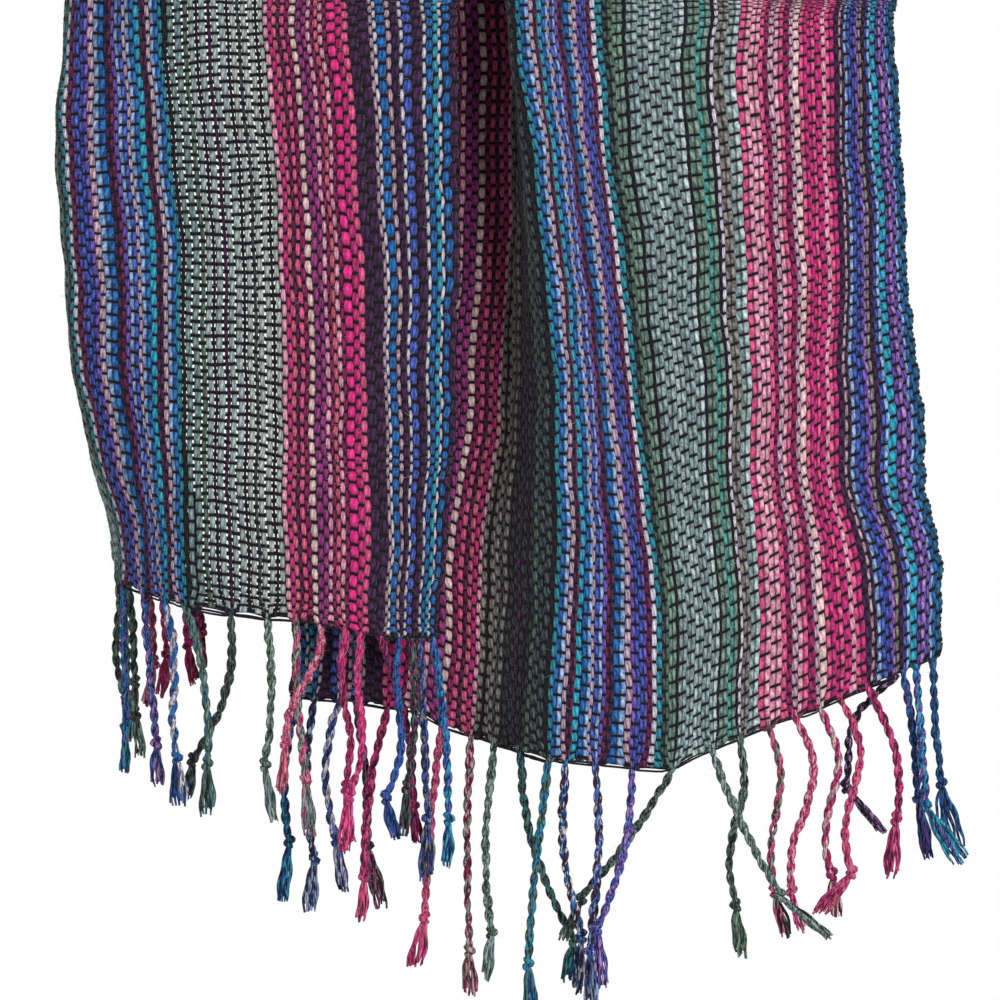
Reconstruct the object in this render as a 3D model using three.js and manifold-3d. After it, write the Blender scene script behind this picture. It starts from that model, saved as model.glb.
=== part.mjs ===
// A hand-woven striped scarf that hangs round a neck, with no wearer: the loop behind the neck, two ends
// down the front, and a fringe of twisted and knotted strands on each end.
// Millimetres, +Z up, the front faces -Y, +X is to the right as seen from the front.
// The origin is the middle of the neck hollow, at the height where the loop rests.

import * as THREE from 'three';
import { mergeVertices } from 'three/addons/utils/BufferGeometryUtils.js';
import Module from 'manifold-3d';

const wasm = await Module();
wasm.setup();

// ---------------------------------------------------------------- driving dimensions

const SETT = 230 / 86;          // spacing of the warp threads
const WALL = 2.2;               // thickness of the cloth
const SEAM_GAP = 0.3;           // between one stretch of cloth and the next
const SPLIT = 262;              // along the cloth, from the nape to the end of the neck loop
const RIDGE = 'E';              // the path follows the line where this band begins
const STRIP_DEPTH = 3.2;        // the last picks, which carry the fringe
const CLOTH_COLUMNS = 23;       // facets across the cloth
const END_ROWS = 22;            // facets along each hanging end
const LOOP_ROWS = 27;           // facets along the neck loop
const STRAND_WIDTH = 3.4;       // a two-ply twisted strand
const ROOT_WIDTH = 2;           // where a strand leaves the cloth
const STRAND_STEPS = 4;         // straight stretches from a strand's root to its knot
const KNOT_RADIUS = 3.1;
const LOCKS_PER_TASSEL = 2;
const LOCK_WIDTH = 2.2;
const LOCK_STAGGER = 1.5;        // the middle lock of a tassel lies this far back
const SECTION_STEP = 2;         // step of the walk across the cloth
const SLIVER = 0.02;            // what a union may leave is tidied away below this size

const COLOUR = { cloth: 0x6d5b8c, loop: 0x5f7f8c, fringe: 0x8c4f80 };

// ---------------------------------------------------------------- tables

const table = (columns, rows) => rows.map(
  (row) => Object.fromEntries(columns.map((column, i) => [column, row[i]])));

// The stripe bands from the inner selvedge to the outer one, each with its number of warp threads.
const BANDS = table(
  ['name', 'threads'],
  [['A', 10], ['C', 13], ['D', 13], ['E', 14], ['F', 14], ['G', 14], ['H', 8]]);

// Where the ridge line runs, and how the cloth's cross direction lies: bearing is its heading round the
// neck (0 behind, 90 at the right side), slope is how steeply it falls outwards, and soft is the length
// over which the cloth turns at a fold.
const PLACE_COLUMNS = ['place', 'x', 'y', 'z', 'bearing', 'slope', 'soft'];
const NAPE = table(PLACE_COLUMNS, [['nape', 0, 96, 0, 0, 80, 18]]);
const SHOULDER = table(PLACE_COLUMNS, [
  ['back', 70, 68, -5, 45, 76, 18],
  ['side', 101, 2, -24, 90, 66, 18],
  ['collar', 102, -56, -66, 90, 48, 18],
  ['breast', 90, -93, -135, 90, 24, 18],
]);
const RIGHT_DROP = table(PLACE_COLUMNS, [
  ['chest', 71, -107, -225, 90, 6, 16],
  ['cross', 38, -111, -335, 90, 0, 14],
  ['waist', 5, -112, -447, 90, 0, 12],
  ['upper', 10.3, -112, -495, 90, 0, 12],
  ['middle', 15.7, -112, -547, 90, 0, 12],
  ['lower', 18.8, -111, -600, 90, 0, 14],
  ['low', 18.5, -110, -640, 90, 0, 16],
  ['hem', 15.3, -109, -698.7, 90, 0, 18],
]);
const LEFT_DROP = table(PLACE_COLUMNS, [
  ['chest', 91, -101, -225, 90, 6, 20],
  ['cross', 104, -103, -335, 90, 0, 24],
  ['waist', 113.3, -104, -447, 90, 0, 26],
  ['upper', 109.5, -104, -495, 90, 0, 26],
  ['middle', 106.3, -104, -547, 90, 0, 26],
  ['lower', 106, -104, -600, 90, 0, 26],
  ['low', 104.7, -104, -626, 90, 0, 24],
  ['hem', 104, -104, -648.7, 90, 0, 22],
]);

// The heading of each band across the cloth, in degrees: 0 lies along the cross direction, and more than
// 0 rises off the cloth's face on the way to the outer selvedge.
const BAND_COLUMNS = ['A', 'C', 'D', 'E', 'F', 'G', 'H'];
const NAPE_HEADINGS = table(BAND_COLUMNS, [[50, -55, 55, -55, 55, -55, 40]]);
const SHOULDER_HEADINGS = table(BAND_COLUMNS, [
  [50, -56, 54, -54, 55, -54, 40],
  [48, -52, 55, -55, 50, -50, 35],
  [42, -46, 56, -54, 45, -46, 28],
  [32, -38, 58, -53, 34, -46, 20],
]);
const RIGHT_HEADINGS = table(BAND_COLUMNS, [
  [15, -18, 68, -50, 18, -30, 14],
  [4, -4, 84, -50, 4, -22, 16],
  [-8, 6, 96, -49, 0, -20, 20],
  [-6, 6, 87, -51, 0, -18, 15],
  [-4, 5, 73, -49, 3, -20, 0],
  [0, 4, 60, -45, 4, -22, 0],
  [3, 3, 50, -31, 0, -10, 0],
  [4, 3, 52, -15, -4, -3, 5],
]);
const LEFT_HEADINGS = table(BAND_COLUMNS, [
  [25, -34, 38, -44, -26, -72, -30],
  [16, -31, 16, -30, -60, -105, -70],
  [10, -30, 0, -30, -95, -130, -110],
  [12, -30, 8, -8, -92, -132, -105],
  [15, -30, 10, -10, -92, -136, -100],
  [18, -27, 8, -38, -86, -142, -96],
  [25, -27, 14, -50, -82, -146, -92],
  [30, -27, 16, -50, -80, -148, -90],
]);

// How far each band is spread (more than 1) or drawn in (less than 1): the weave is loose.
const EVEN = table(BAND_COLUMNS, [[1, 1, 1, 1, 1, 1, 1]]);
const RIGHT_SPREAD = table(BAND_COLUMNS, [
  [1, 1, 1, 1, 1.1, 1, 1],
  [1, 1, 1, 1, 1.2, 0.98, 0.95],
  [1, 1, 1, 1, 1.33, 0.96, 0.88],
  [1, 1, 1, 0.95, 1.24, 0.95, 0.95],
  [1, 1, 1, 0.95, 1.14, 0.92, 1],
  [1, 1, 1, 0.97, 1.02, 0.87, 1.3],
  [1.02, 1.02, 1, 1, 0.93, 1, 1.16],
  [1.03, 1.03, 1, 1, 0.92, 1, 0.97],
]);
const LEFT_SPREAD = table(BAND_COLUMNS, [
  [1.1, 0.99, 1, 1, 1, 1, 1],
  [1.2, 0.98, 1, 1, 1, 0.95, 0.95],
  [1.3, 0.97, 1, 0.97, 0.95, 0.9, 0.9],
  [1.2, 0.96, 0.98, 1, 0.95, 0.9, 0.9],
  [1.09, 0.96, 0.97, 1, 0.95, 0.9, 0.9],
  [0.98, 0.98, 0.98, 0.95, 0.9, 0.9, 0.9],
  [0.91, 0.99, 0.96, 0.87, 0.87, 0.87, 0.9],
  [0.87, 0.97, 0.96, 0.85, 0.85, 0.87, 0.9],
]);

// How much higher the last pick lies than at the ridge, along the hem.
const RIGHT_RISE = table(
  ['at', 'rise'],
  [[0, 13.5], [35, 12.5], [62, 4], [96, 0], [134, -1.5], [152, 0], [171, 13], [208, 30], [230, 40]]);
const LEFT_RISE = table(
  ['at', 'rise'],
  [[0, -15], [27, -12], [62, -5], [96, 0], [114, 4], [134, 8], [171, 26], [208, 34], [230, 38]]);
const SLANT_FULL = 560;         // distance along the cloth at which the picks lie at the hem's slant

// The fringe, a row for each strand: at is its root along the hem, then how far its knot lies sideways and
// below, how far it bows and sways sideways, how far its knot lies forwards, where its tassel's tip lies
// from the knot, and how far the locks of the tassel fan out.
const STRAND_COLUMNS = ['at', 'dx', 'drop', 'bow', 'sway', 'front', 'tipX', 'tipDrop', 'fan'];
const RIGHT_STRANDS = table(STRAND_COLUMNS, [
  [3, -3.3, 47, -3.3, 0, 0, -2.5, 19, 2],
  [8, 0, 52.7, -2.7, 0, -1, -1.7, 16.5, 2.5],
  [16, -0.9, 45.3, -4, 0, 0, 2.7, 17, 2],
  [22, 3.7, 47, 1, 0, -3, 4.3, 20, 2.5],
  [32, -7.7, 55.7, -2.3, 0, 2, -1.3, 14.7, 2],
  [50, -5.7, 63.7, -0.8, 0, 0, -3.3, 16.3, 3.5],
  [60, -0.6, 70.6, -1, 0, 0, 0.5, 14, 3],
  [70, -0.7, 62, -2.3, 0, 0, -1.7, 15, 1.6],
  [84.5, 18, 62, -4.3, 0, -10, -2, 13, 2.6],
  [97.5, -7, 67.3, -1, 0, 2, 1, 15.7, 2.5],
  [103, 5.5, 57.7, -3.3, 0, -8, -1.3, 18, 2],
  [113.5, -2, 60.7, 1.7, 0, 0, 0.7, 18.3, 3],
  [126, -11.7, 51.7, 3.3, 0, 11, 2, 20, 2],
  [140, -30, 42.7, 2, 0, -5, -6, 13.5, 2],
  [155, 22, 47, -1.7, 0, 9, 16, 14.3, 2],
  [165, -1.7, 55, -0.7, 2, -3, 2, 16.3, 2.2],
  [175, 1.7, 53.7, 1.7, 2, -3, 3.7, 15, 2.5],
  [184, -1.7, 57, 4.3, 3, 0, 3, 13, 2],
  [192, 4, 55, 2.3, 3, -2, 1.7, 13, 2],
  [199, 3.3, 56.7, 2.7, 3.3, 5, -11, 13.3, 3],
  [208, 9, 43, 4.7, 0, 6, -1.3, 19, 3],
  [215.5, -15, 35.7, -6.3, -1.5, -12, 12, 14.7, 2],
  [219, 5, 40.7, 0.7, 0, -2, 3.2, 19.3, 2],
  [223, 2.9, 44.7, 0, 0, 5, 11, 19, 4],
  [228, 3, 40, -0.7, 0, -5, 4, 20.7, 5],
]);
const LEFT_STRANDS = table(STRAND_COLUMNS, [
  [2, 5.3, 59, 1.3, 0, 0, -0.7, 15.3, 2],
  [8, 2.3, 59.3, 0, 0, -4, -0.3, 20, 3],
  [13, -1, 49, 2, 0, 0, -1, 15, 2],
  [18, -4.5, 52.3, 2.7, -1.7, 4, 3.5, 13, 2],
  [26, 11, 55.7, 2.7, 0, -16, 1, 12, 2],
  [33, -3.7, 53, 2, -1.7, 2, -1.7, 18, 2.5],
  [39, 0.3, 51.5, 0, -1.3, -4, 1.5, 18, 2],
  [48, -12, 37.7, 0, 1.7, 8, -1.7, 16, 1.5],
  [58, 3.3, 52, -1, 0, -4, 1.3, 18, 2.5],
  [68, -0.7, 48.3, 1.7, 0, 0, 3, 18, 1.5],
  [81, -13, 48.3, 5, 0, -8, -2, 12, 2],
  [97, 7, 51.3, 2.7, 0, 2, 0, 16.3, 3],
  [108, 4, 51.3, 1, 1, 2, 1, 15.3, 4],
  [121.5, 4.3, 49.7, 0, 0, 0, 0.3, 13, 2.5],
  [137, 0.7, 47, 0, 0, 0, -0.3, 15.3, 2],
  [150, 6, 50, -3.3, 1.7, 0, 1.7, 13.7, 2],
  [160, 4, 49, 1.5, 0, 0, 0.7, 15, 2],
  [169, 6.5, 49, 2, 0, 0, -1, 13, 2],
  [181, 7, 46, 2, 0.7, 0, -2.7, 13.7, 2],
  [190, 5, 45, 0.7, 0, 0, -2, 14, 2],
  [199, 6, 44, 1, 0, 0, 2, 13, 2],
  [207, 6, 41, 0, 0, 0, 0, 12, 2],
  [217, 1, 34, 1, 0, 0, 0, 12, 2],
  [227, 0, 34, -1, 0, 0, 1, 12, 2],
]);

// ---------------------------------------------------------------- the cloth as a surface

const SIDE = { left: -1, right: 1 };
const radians = THREE.MathUtils.degToRad;
const smooth = (t) => THREE.MathUtils.smoothstep(t, 0, 1);

// A smooth curve through values at knots that never overshoots between two of them.
function curveThrough(knots, values) {
  const count = knots.length;
  const secants = [];
  for (let i = 0; i < count - 1; i++) {
    secants.push((values[i + 1] - values[i]) / (knots[i + 1] - knots[i]));
  }
  const tangents = [secants[0]];
  for (let i = 1; i < count - 1; i++) {
    const before = secants[i - 1];
    const after = secants[i];
    tangents.push(before * after > 0 ? 2 * before * after / (before + after) : 0);
  }
  tangents.push(secants[count - 2]);
  return (at) => {
    let i = 0;
    while (i < count - 2 && at > knots[i + 1]) i++;
    const span = knots[i + 1] - knots[i];
    const t = (at - knots[i]) / span;
    const rest = 1 - t;
    return values[i] * (1 + 2 * t) * rest * rest + tangents[i] * span * t * rest * rest
      + values[i + 1] * t * t * (3 - 2 * t) - tangents[i + 1] * span * t * t * rest;
  };
}

const mirrored = (rows) => rows.map((row) => ({ ...row, x: -row.x, bearing: -row.bearing })).reverse();
const repeated = (rows, count) => Array.from({ length: count }, () => rows[0]);

// Every row from the left hem, over the nape, to the right hem.
const PLACES = [
  ...mirrored([...SHOULDER, ...LEFT_DROP]), ...NAPE, ...SHOULDER, ...RIGHT_DROP];
const HEADINGS = [
  ...[...SHOULDER_HEADINGS, ...LEFT_HEADINGS].reverse(), ...NAPE_HEADINGS,
  ...SHOULDER_HEADINGS, ...RIGHT_HEADINGS];
const SPREADS = [
  ...[...LEFT_SPREAD].reverse(), ...repeated(EVEN, 2 * SHOULDER.length + 1), ...RIGHT_SPREAD];

// Distance along the cloth to each row, less than 0 on the left side and 0 at the nape.
const napeRow = SHOULDER.length + LEFT_DROP.length;
const walked = [0];
for (let i = 1; i < PLACES.length; i++) {
  const here = PLACES[i];
  const last = PLACES[i - 1];
  walked.push(walked[i - 1] + Math.hypot(here.x - last.x, here.y - last.y, here.z - last.z));
}
const ALONG = walked.map((distance) => distance - walked[napeRow]);
const HEM = { left: ALONG[0], right: ALONG[ALONG.length - 1] };
const SPLITS = { left: -SPLIT, right: SPLIT };

const along = (rows, column) => curveThrough(ALONG, rows.map((row) => row[column]));
const place = Object.fromEntries(
  ['x', 'y', 'z', 'bearing', 'slope', 'soft'].map((column) => [column, along(PLACES, column)]));
const headings = BAND_COLUMNS.map((band) => along(HEADINGS, band));
const spreads = BAND_COLUMNS.map((band) => along(SPREADS, band));

// The line where each band begins, across the cloth from the inner selvedge, and its whole width.
const EDGES = [0];
for (const band of BANDS) EDGES.push(EDGES[EDGES.length - 1] + band.threads * SETT);
const WIDTH = EDGES[EDGES.length - 1];
const RIDGE_AT = EDGES[BANDS.findIndex((band) => band.name === RIDGE)];

// A value that is level on each band and turns from one to the next over the soft length.
function acrossBands(levels, soft, at) {
  let value = levels[0];
  for (let i = 1; i < levels.length; i++) {
    value += (levels[i] - levels[i - 1]) * smooth((at - EDGES[i]) / soft + 0.5);
  }
  return value;
}

const ridgePoint = (s) => new THREE.Vector3(place.x(s), place.y(s), place.z(s));

// The moving frame on the ridge line: across runs to the outer selvedge, out leaves the cloth's face.
function frameAt(s) {
  const way = ridgePoint(s + 0.5).sub(ridgePoint(s - 0.5)).normalize();
  const bearing = radians(place.bearing(s));
  const slope = radians(place.slope(s));
  const across = new THREE.Vector3(
    Math.cos(slope) * Math.sin(bearing), Math.cos(slope) * Math.cos(bearing), -Math.sin(slope));
  across.addScaledVector(way, -across.dot(way)).normalize();
  return { at: ridgePoint(s), across, out: way.clone().cross(across) };
}

const rises = {
  left: curveThrough(LEFT_RISE.map((row) => row.at), LEFT_RISE.map((row) => row.rise)),
  right: curveThrough(RIGHT_RISE.map((row) => row.at), RIGHT_RISE.map((row) => row.rise)),
};

// A point of the cloth: s along it, v across it, lifted off its middle surface by the given amount.
function clothPoint(s, v, lift) {
  const side = s < 0 ? 'left' : 'right';
  const slant = smooth((Math.abs(s) - SPLIT) / (SLANT_FULL - SPLIT));
  const station = s - SIDE[side] * slant * rises[side](v);
  const { at, across, out } = frameAt(station);
  const soft = place.soft(station);
  const turns = headings.map((heading) => heading(station));
  const widths = spreads.map((spread) => spread(station));
  const steps = Math.max(1, Math.ceil(Math.abs(v - RIDGE_AT) / SECTION_STEP));
  const step = (v - RIDGE_AT) / steps;
  let sideways = 0;
  let forwards = 0;
  for (let i = 0; i < steps; i++) {
    const middle = RIDGE_AT + (i + 0.5) * step;
    const heading = radians(acrossBands(turns, soft, middle));
    const length = step * acrossBands(widths, soft, middle);
    sideways += Math.cos(heading) * length;
    forwards += Math.sin(heading) * length;
  }
  const facing = radians(acrossBands(turns, soft, v));
  sideways -= Math.sin(facing) * lift;
  forwards += Math.cos(facing) * lift;
  return at.addScaledVector(across, sideways).addScaledVector(out, forwards);
}

// ---------------------------------------------------------------- solids

function geometryOf(positions, triangles) {
  const geometry = new THREE.BufferGeometry();
  geometry.setAttribute('position', new THREE.Float32BufferAttribute(positions, 3));
  geometry.setIndex(triangles);
  return geometry;
}

// A wall of cloth from one place along it to another, closed at its hems and selvedges.
function wall(from, to, rows) {
  const positions = [];
  for (const lift of [WALL / 2, -WALL / 2]) {
    for (let i = 0; i <= rows; i++) {
      for (let j = 0; j <= CLOTH_COLUMNS; j++) {
        const s = THREE.MathUtils.lerp(from, to, i / rows);
        positions.push(...clothPoint(s, WIDTH * j / CLOTH_COLUMNS, lift).toArray());
      }
    }
  }
  const stride = CLOTH_COLUMNS + 1;
  const back = (rows + 1) * stride;
  const triangles = [];
  const quad = (a, b, c, d) => triangles.push(a, b, c, a, c, d);
  for (let i = 0; i < rows; i++) {
    for (let j = 0; j < CLOTH_COLUMNS; j++) {
      const k = i * stride + j;
      quad(k, k + stride, k + stride + 1, k + 1);
      quad(back + k, back + k + 1, back + k + stride + 1, back + k + stride);
    }
    const inner = i * stride;
    const outer = inner + CLOTH_COLUMNS;
    quad(inner, back + inner, back + inner + stride, inner + stride);
    quad(outer, outer + stride, back + outer + stride, back + outer);
  }
  for (let j = 0; j < CLOTH_COLUMNS; j++) {
    const last = rows * stride + j;
    quad(j, j + 1, back + j + 1, back + j);
    quad(last, back + last, back + last + 1, last + 1);
  }
  return geometryOf(positions, triangles);
}

// A closed tube of few sides along points, with a radius at each of them.
function tube(points, radii, sides) {
  const positions = [];
  points.forEach((point, i) => {
    const before = points[Math.max(0, i - 1)];
    const after = points[Math.min(points.length - 1, i + 1)];
    const way = after.clone().sub(before).normalize();
    const right = new THREE.Vector3(1, 0, 0).addScaledVector(way, -way.x).normalize();
    const front = way.clone().cross(right);
    for (let k = 0; k < sides; k++) {
      const turn = 2 * Math.PI * k / sides;
      const corner = point.clone()
        .addScaledVector(right, radii[i] * Math.cos(turn))
        .addScaledVector(front, radii[i] * Math.sin(turn));
      positions.push(...corner.toArray());
    }
  });
  const triangles = [];
  for (let i = 0; i < points.length - 1; i++) {
    for (let k = 0; k < sides; k++) {
      const a = i * sides + k;
      const b = i * sides + (k + 1) % sides;
      triangles.push(a, b, b + sides, a, b + sides, a + sides);
    }
  }
  const end = (points.length - 1) * sides;
  for (let k = 1; k < sides - 1; k++) {
    triangles.push(0, k + 1, k, end, end + k, end + k + 1);
  }
  return geometryOf(positions, triangles);
}

function solidOf(geometry) {
  const plain = geometry.clone();
  plain.deleteAttribute('normal');
  plain.deleteAttribute('uv');
  const merged = mergeVertices(plain);
  return new wasm.Manifold(new wasm.Mesh({
    numProp: 3,
    vertProperties: merged.getAttribute('position').array,
    triVerts: new Uint32Array(merged.getIndex().array),
  }));
}

function geometryFrom(solid) {
  const mesh = solid.getMesh();
  return geometryOf(mesh.vertProperties, [...mesh.triVerts]);
}

// ---------------------------------------------------------------- fringe

// One strand from its root in the last picks to its knot, as a function of the share of the way down.
function strandRoute(side, strand) {
  const strip = HEM[side] + SIDE[side] * (SEAM_GAP + STRIP_DEPTH / 2);
  const root = clothPoint(strip, strand.at, 0);
  return (t) => new THREE.Vector3(
    root.x + strand.dx * t + strand.bow * Math.sin(Math.PI * t) + strand.sway * Math.sin(2 * Math.PI * t),
    root.y - strand.front * Math.sin(t * Math.PI / 2),
    root.z - strand.drop * t);
}

function strandSolids(side, strand) {
  const route = strandRoute(side, strand);
  const knot = route(1);
  const shares = Array.from({ length: STRAND_STEPS + 1 }, (_, i) => i / STRAND_STEPS);
  const solids = [solidOf(tube(
    shares.map(route), shares.map((t) => (t === 0 ? ROOT_WIDTH : STRAND_WIDTH) / 2), 4))];
  const head = new THREE.OctahedronGeometry(KNOT_RADIUS);
  head.translate(...knot.toArray());
  solids.push(solidOf(head));
  for (let k = 0; k < LOCKS_PER_TASSEL; k++) {
    const fan = k - (LOCKS_PER_TASSEL - 1) / 2;
    const tip = knot.clone().add(new THREE.Vector3(
      strand.tipX + fan * strand.fan, (k % 2) * LOCK_STAGGER, -strand.tipDrop + Math.abs(fan)));
    const belly = knot.clone().lerp(tip, 0.5).add(new THREE.Vector3(fan * strand.fan / 3, 0, 0));
    solids.push(solidOf(tube(
      [knot, belly, tip], [LOCK_WIDTH / 3, LOCK_WIDTH / 2, LOCK_WIDTH / 3], 3)));
  }
  return solids;
}

function fringe(side, strands) {
  const from = HEM[side] + SIDE[side] * SEAM_GAP;
  const to = from + SIDE[side] * STRIP_DEPTH;
  const strip = wall(Math.min(from, to), Math.max(from, to), 1);
  const solids = [solidOf(strip)];
  for (const strand of strands) solids.push(...strandSolids(side, strand));
  return geometryFrom(wasm.Manifold.union(solids).simplify(SLIVER));
}

// ---------------------------------------------------------------- the scarf

const scarf = new THREE.Group();

function add(name, geometry, colour) {
  geometry.computeVertexNormals();
  const material = new THREE.MeshStandardMaterial({ color: colour, roughness: 0.9, metalness: 0 });
  const mesh = new THREE.Mesh(geometry, material);
  mesh.name = name;
  scarf.add(mesh);
}

const seam = SEAM_GAP / 2;
add('left_end', wall(HEM.left, SPLITS.left - seam, END_ROWS), COLOUR.cloth);
add('neck_loop', wall(SPLITS.left + seam, SPLITS.right - seam, LOOP_ROWS), COLOUR.loop);
add('right_end', wall(SPLITS.right + seam, HEM.right, END_ROWS), COLOUR.cloth);
add('left_fringe', fringe('left', LEFT_STRANDS), COLOUR.fringe);
add('right_fringe', fringe('right', RIGHT_STRANDS), COLOUR.fringe);

export default scarf;
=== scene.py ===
"""The looks of a hand-woven alpaca scarf that hangs round a neck, with no wearer.

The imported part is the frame. The stretches that hang lowest are woven here from real warp and weft yarns,
the rest of the cloth is a thin shell with a procedural weave on the same surface, and the fringe is twisted
from plies, knotted and left loose at its tips. Lengths are in millimetres until a mesh is made.
"""

import logging
import math
from dataclasses import dataclass, field
from enum import Enum
from typing import Any, Callable, Sequence

import bpy
import numpy as np
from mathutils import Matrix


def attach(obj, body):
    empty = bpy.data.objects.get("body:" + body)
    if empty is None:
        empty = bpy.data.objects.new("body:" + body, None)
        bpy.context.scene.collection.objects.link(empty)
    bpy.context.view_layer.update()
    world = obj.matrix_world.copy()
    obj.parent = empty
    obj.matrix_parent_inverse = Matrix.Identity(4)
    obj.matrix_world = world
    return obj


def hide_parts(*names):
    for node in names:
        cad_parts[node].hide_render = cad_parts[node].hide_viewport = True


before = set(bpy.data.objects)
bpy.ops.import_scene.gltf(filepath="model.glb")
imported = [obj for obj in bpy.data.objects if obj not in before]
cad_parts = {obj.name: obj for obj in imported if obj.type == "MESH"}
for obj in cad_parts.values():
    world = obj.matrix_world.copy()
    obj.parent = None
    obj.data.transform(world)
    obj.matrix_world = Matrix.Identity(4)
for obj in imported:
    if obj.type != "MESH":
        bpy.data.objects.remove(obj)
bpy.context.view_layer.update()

LOG = logging.getLogger("scarf")
MM = 0.001
TURN = 2 * math.pi
BODY = "root"

Array = np.ndarray


# ---------------------------------------------------------------- the part's own sizes

SETT = 230 / 86          # spacing of the warp threads
PITCH = 2.34             # spacing of the picks
LEFT_PICKS = 98          # woven yarn by yarn, an even number on each side
RIGHT_PICKS = 112
CLOTH_HAIRS = 9000       # that stand off each woven end
FRINGE_HAIRS = 3500
UV_STAGGER = 31.7        # from one yarn to the next along the UV map, so that no two look the same
WARP_SECTION = np.array([(-0.5, -0.35), (-0.34, 0.5), (0.34, 0.5), (0.5, -0.35)])     # across and up
WEFT_SECTION = np.array([(-0.5, -0.2), (0.0, 0.5), (0.5, -0.2)])

# What the random numbers start from. All but the hem's also count the side in.
WARP_SEED, HEM_SEED, FRINGE_SEED, CLOTH_HALO_SEED, FRINGE_HALO_SEED = 11, 5, 30, 70, 80
SEAM_GAP = 0.3           # between one stretch of cloth and the next in the solids
STRIP_DEPTH = 3.2        # the solids' strip that carries the fringe
SPLIT = 262              # along the cloth, from the nape to the end of the neck loop
RIDGE = "E"              # the path follows the line where this band begins
SLANT_EASE = 6           # the picks lie level higher up, and reach the hem's slant with this power

BANDS = {"A": 10, "C": 13, "D": 13, "E": 14, "F": 14, "G": 14, "H": 8}

# place, x, y, z, bearing, slope, soft
NAPE = [("nape", 0, 96, 0, 0, 80, 18)]
SHOULDER = [
    ("back", 70, 68, -5, 45, 76, 18),
    ("side", 101, 2, -24, 90, 66, 18),
    ("collar", 102, -56, -66, 90, 48, 18),
    ("breast", 90, -93, -135, 90, 24, 18),
]
RIGHT_DROP = [
    ("chest", 71, -107, -225, 90, 6, 16),
    ("cross", 38, -111, -335, 90, 0, 14),
    ("waist", 5, -112, -447, 90, 0, 12),
    ("upper", 10.3, -112, -495, 90, 0, 12),
    ("middle", 15.7, -112, -547, 90, 0, 12),
    ("lower", 18.8, -111, -600, 90, 0, 14),
    ("low", 18.5, -110, -640, 90, 0, 16),
    ("hem", 15.3, -109, -698.7, 90, 0, 18),
]
LEFT_DROP = [
    ("chest", 91, -101, -225, 90, 6, 20),
    ("cross", 104, -103, -335, 90, 0, 24),
    ("waist", 113.3, -104, -447, 90, 0, 26),
    ("upper", 109.5, -104, -495, 90, 0, 26),
    ("middle", 106.3, -104, -547, 90, 0, 26),
    ("lower", 106, -104, -600, 90, 0, 26),
    ("low", 104.7, -104, -626, 90, 0, 24),
    ("hem", 104, -104, -648.7, 90, 0, 22),
]

# The heading of each band across the cloth, in degrees, from band A to band H.
NAPE_HEADINGS = [(50, -55, 55, -55, 55, -55, 40)]
SHOULDER_HEADINGS = [
    (50, -56, 54, -54, 55, -54, 40),
    (48, -52, 55, -55, 50, -50, 35),
    (42, -46, 56, -54, 45, -46, 28),
    (32, -38, 58, -53, 34, -46, 20),
]
RIGHT_HEADINGS = [
    (15, -18, 68, -50, 18, -30, 14),
    (4, -4, 84, -50, 4, -22, 16),
    (-8, 6, 96, -49, 0, -20, 20),
    (-6, 6, 87, -51, 0, -18, 15),
    (-4, 5, 73, -49, 3, -20, 0),
    (0, 4, 60, -45, 4, -22, 0),
    (3, 3, 50, -31, 0, -10, 0),
    (4, 3, 52, -15, -4, -3, 5),
]
LEFT_HEADINGS = [
    (25, -34, 38, -44, -26, -72, -30),
    (16, -31, 16, -30, -60, -105, -70),
    (10, -30, 0, -30, -95, -130, -110),
    (12, -30, 8, -8, -92, -132, -105),
    (15, -30, 10, -10, -92, -136, -100),
    (18, -27, 8, -38, -86, -142, -96),
    (25, -27, 14, -50, -82, -146, -92),
    (30, -27, 16, -50, -80, -148, -90),
]

# How far each band is spread (more than 1) or drawn in (less than 1).
EVEN = (1, 1, 1, 1, 1, 1, 1)
RIGHT_SPREAD = [
    (1, 1, 1, 1, 1.1, 1, 1),
    (1, 1, 1, 1, 1.2, 0.98, 0.95),
    (1, 1, 1, 1, 1.33, 0.96, 0.88),
    (1, 1, 1, 0.95, 1.24, 0.95, 0.95),
    (1, 1, 1, 0.95, 1.14, 0.92, 1),
    (1, 1, 1, 0.97, 1.02, 0.87, 1.3),
    (1.02, 1.02, 1, 1, 0.93, 1, 1.16),
    (1.03, 1.03, 1, 1, 0.92, 1, 0.97),
]
LEFT_SPREAD = [
    (1.1, 0.99, 1, 1, 1, 1, 1),
    (1.2, 0.98, 1, 1, 1, 0.95, 0.95),
    (1.3, 0.97, 1, 0.97, 0.95, 0.9, 0.9),
    (1.2, 0.96, 0.98, 1, 0.95, 0.9, 0.9),
    (1.09, 0.96, 0.97, 1, 0.95, 0.9, 0.9),
    (0.98, 0.98, 0.98, 0.95, 0.9, 0.9, 0.9),
    (0.91, 0.99, 0.96, 0.87, 0.87, 0.87, 0.9),
    (0.87, 0.97, 0.96, 0.85, 0.85, 0.87, 0.9),
]

# How much higher the last pick lies than at the ridge: place across the cloth, rise.
RIGHT_RISE = [(0, 13.5), (35, 12.5), (62, 4), (96, 0), (134, -2.5), (152, 4.5), (171, 13), (208, 30), (230, 40)]
LEFT_RISE = [(0, -15), (27, -12), (62, -5), (96, 0), (114, 4), (134, 8), (171, 26), (208, 34), (230, 38)]

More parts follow.
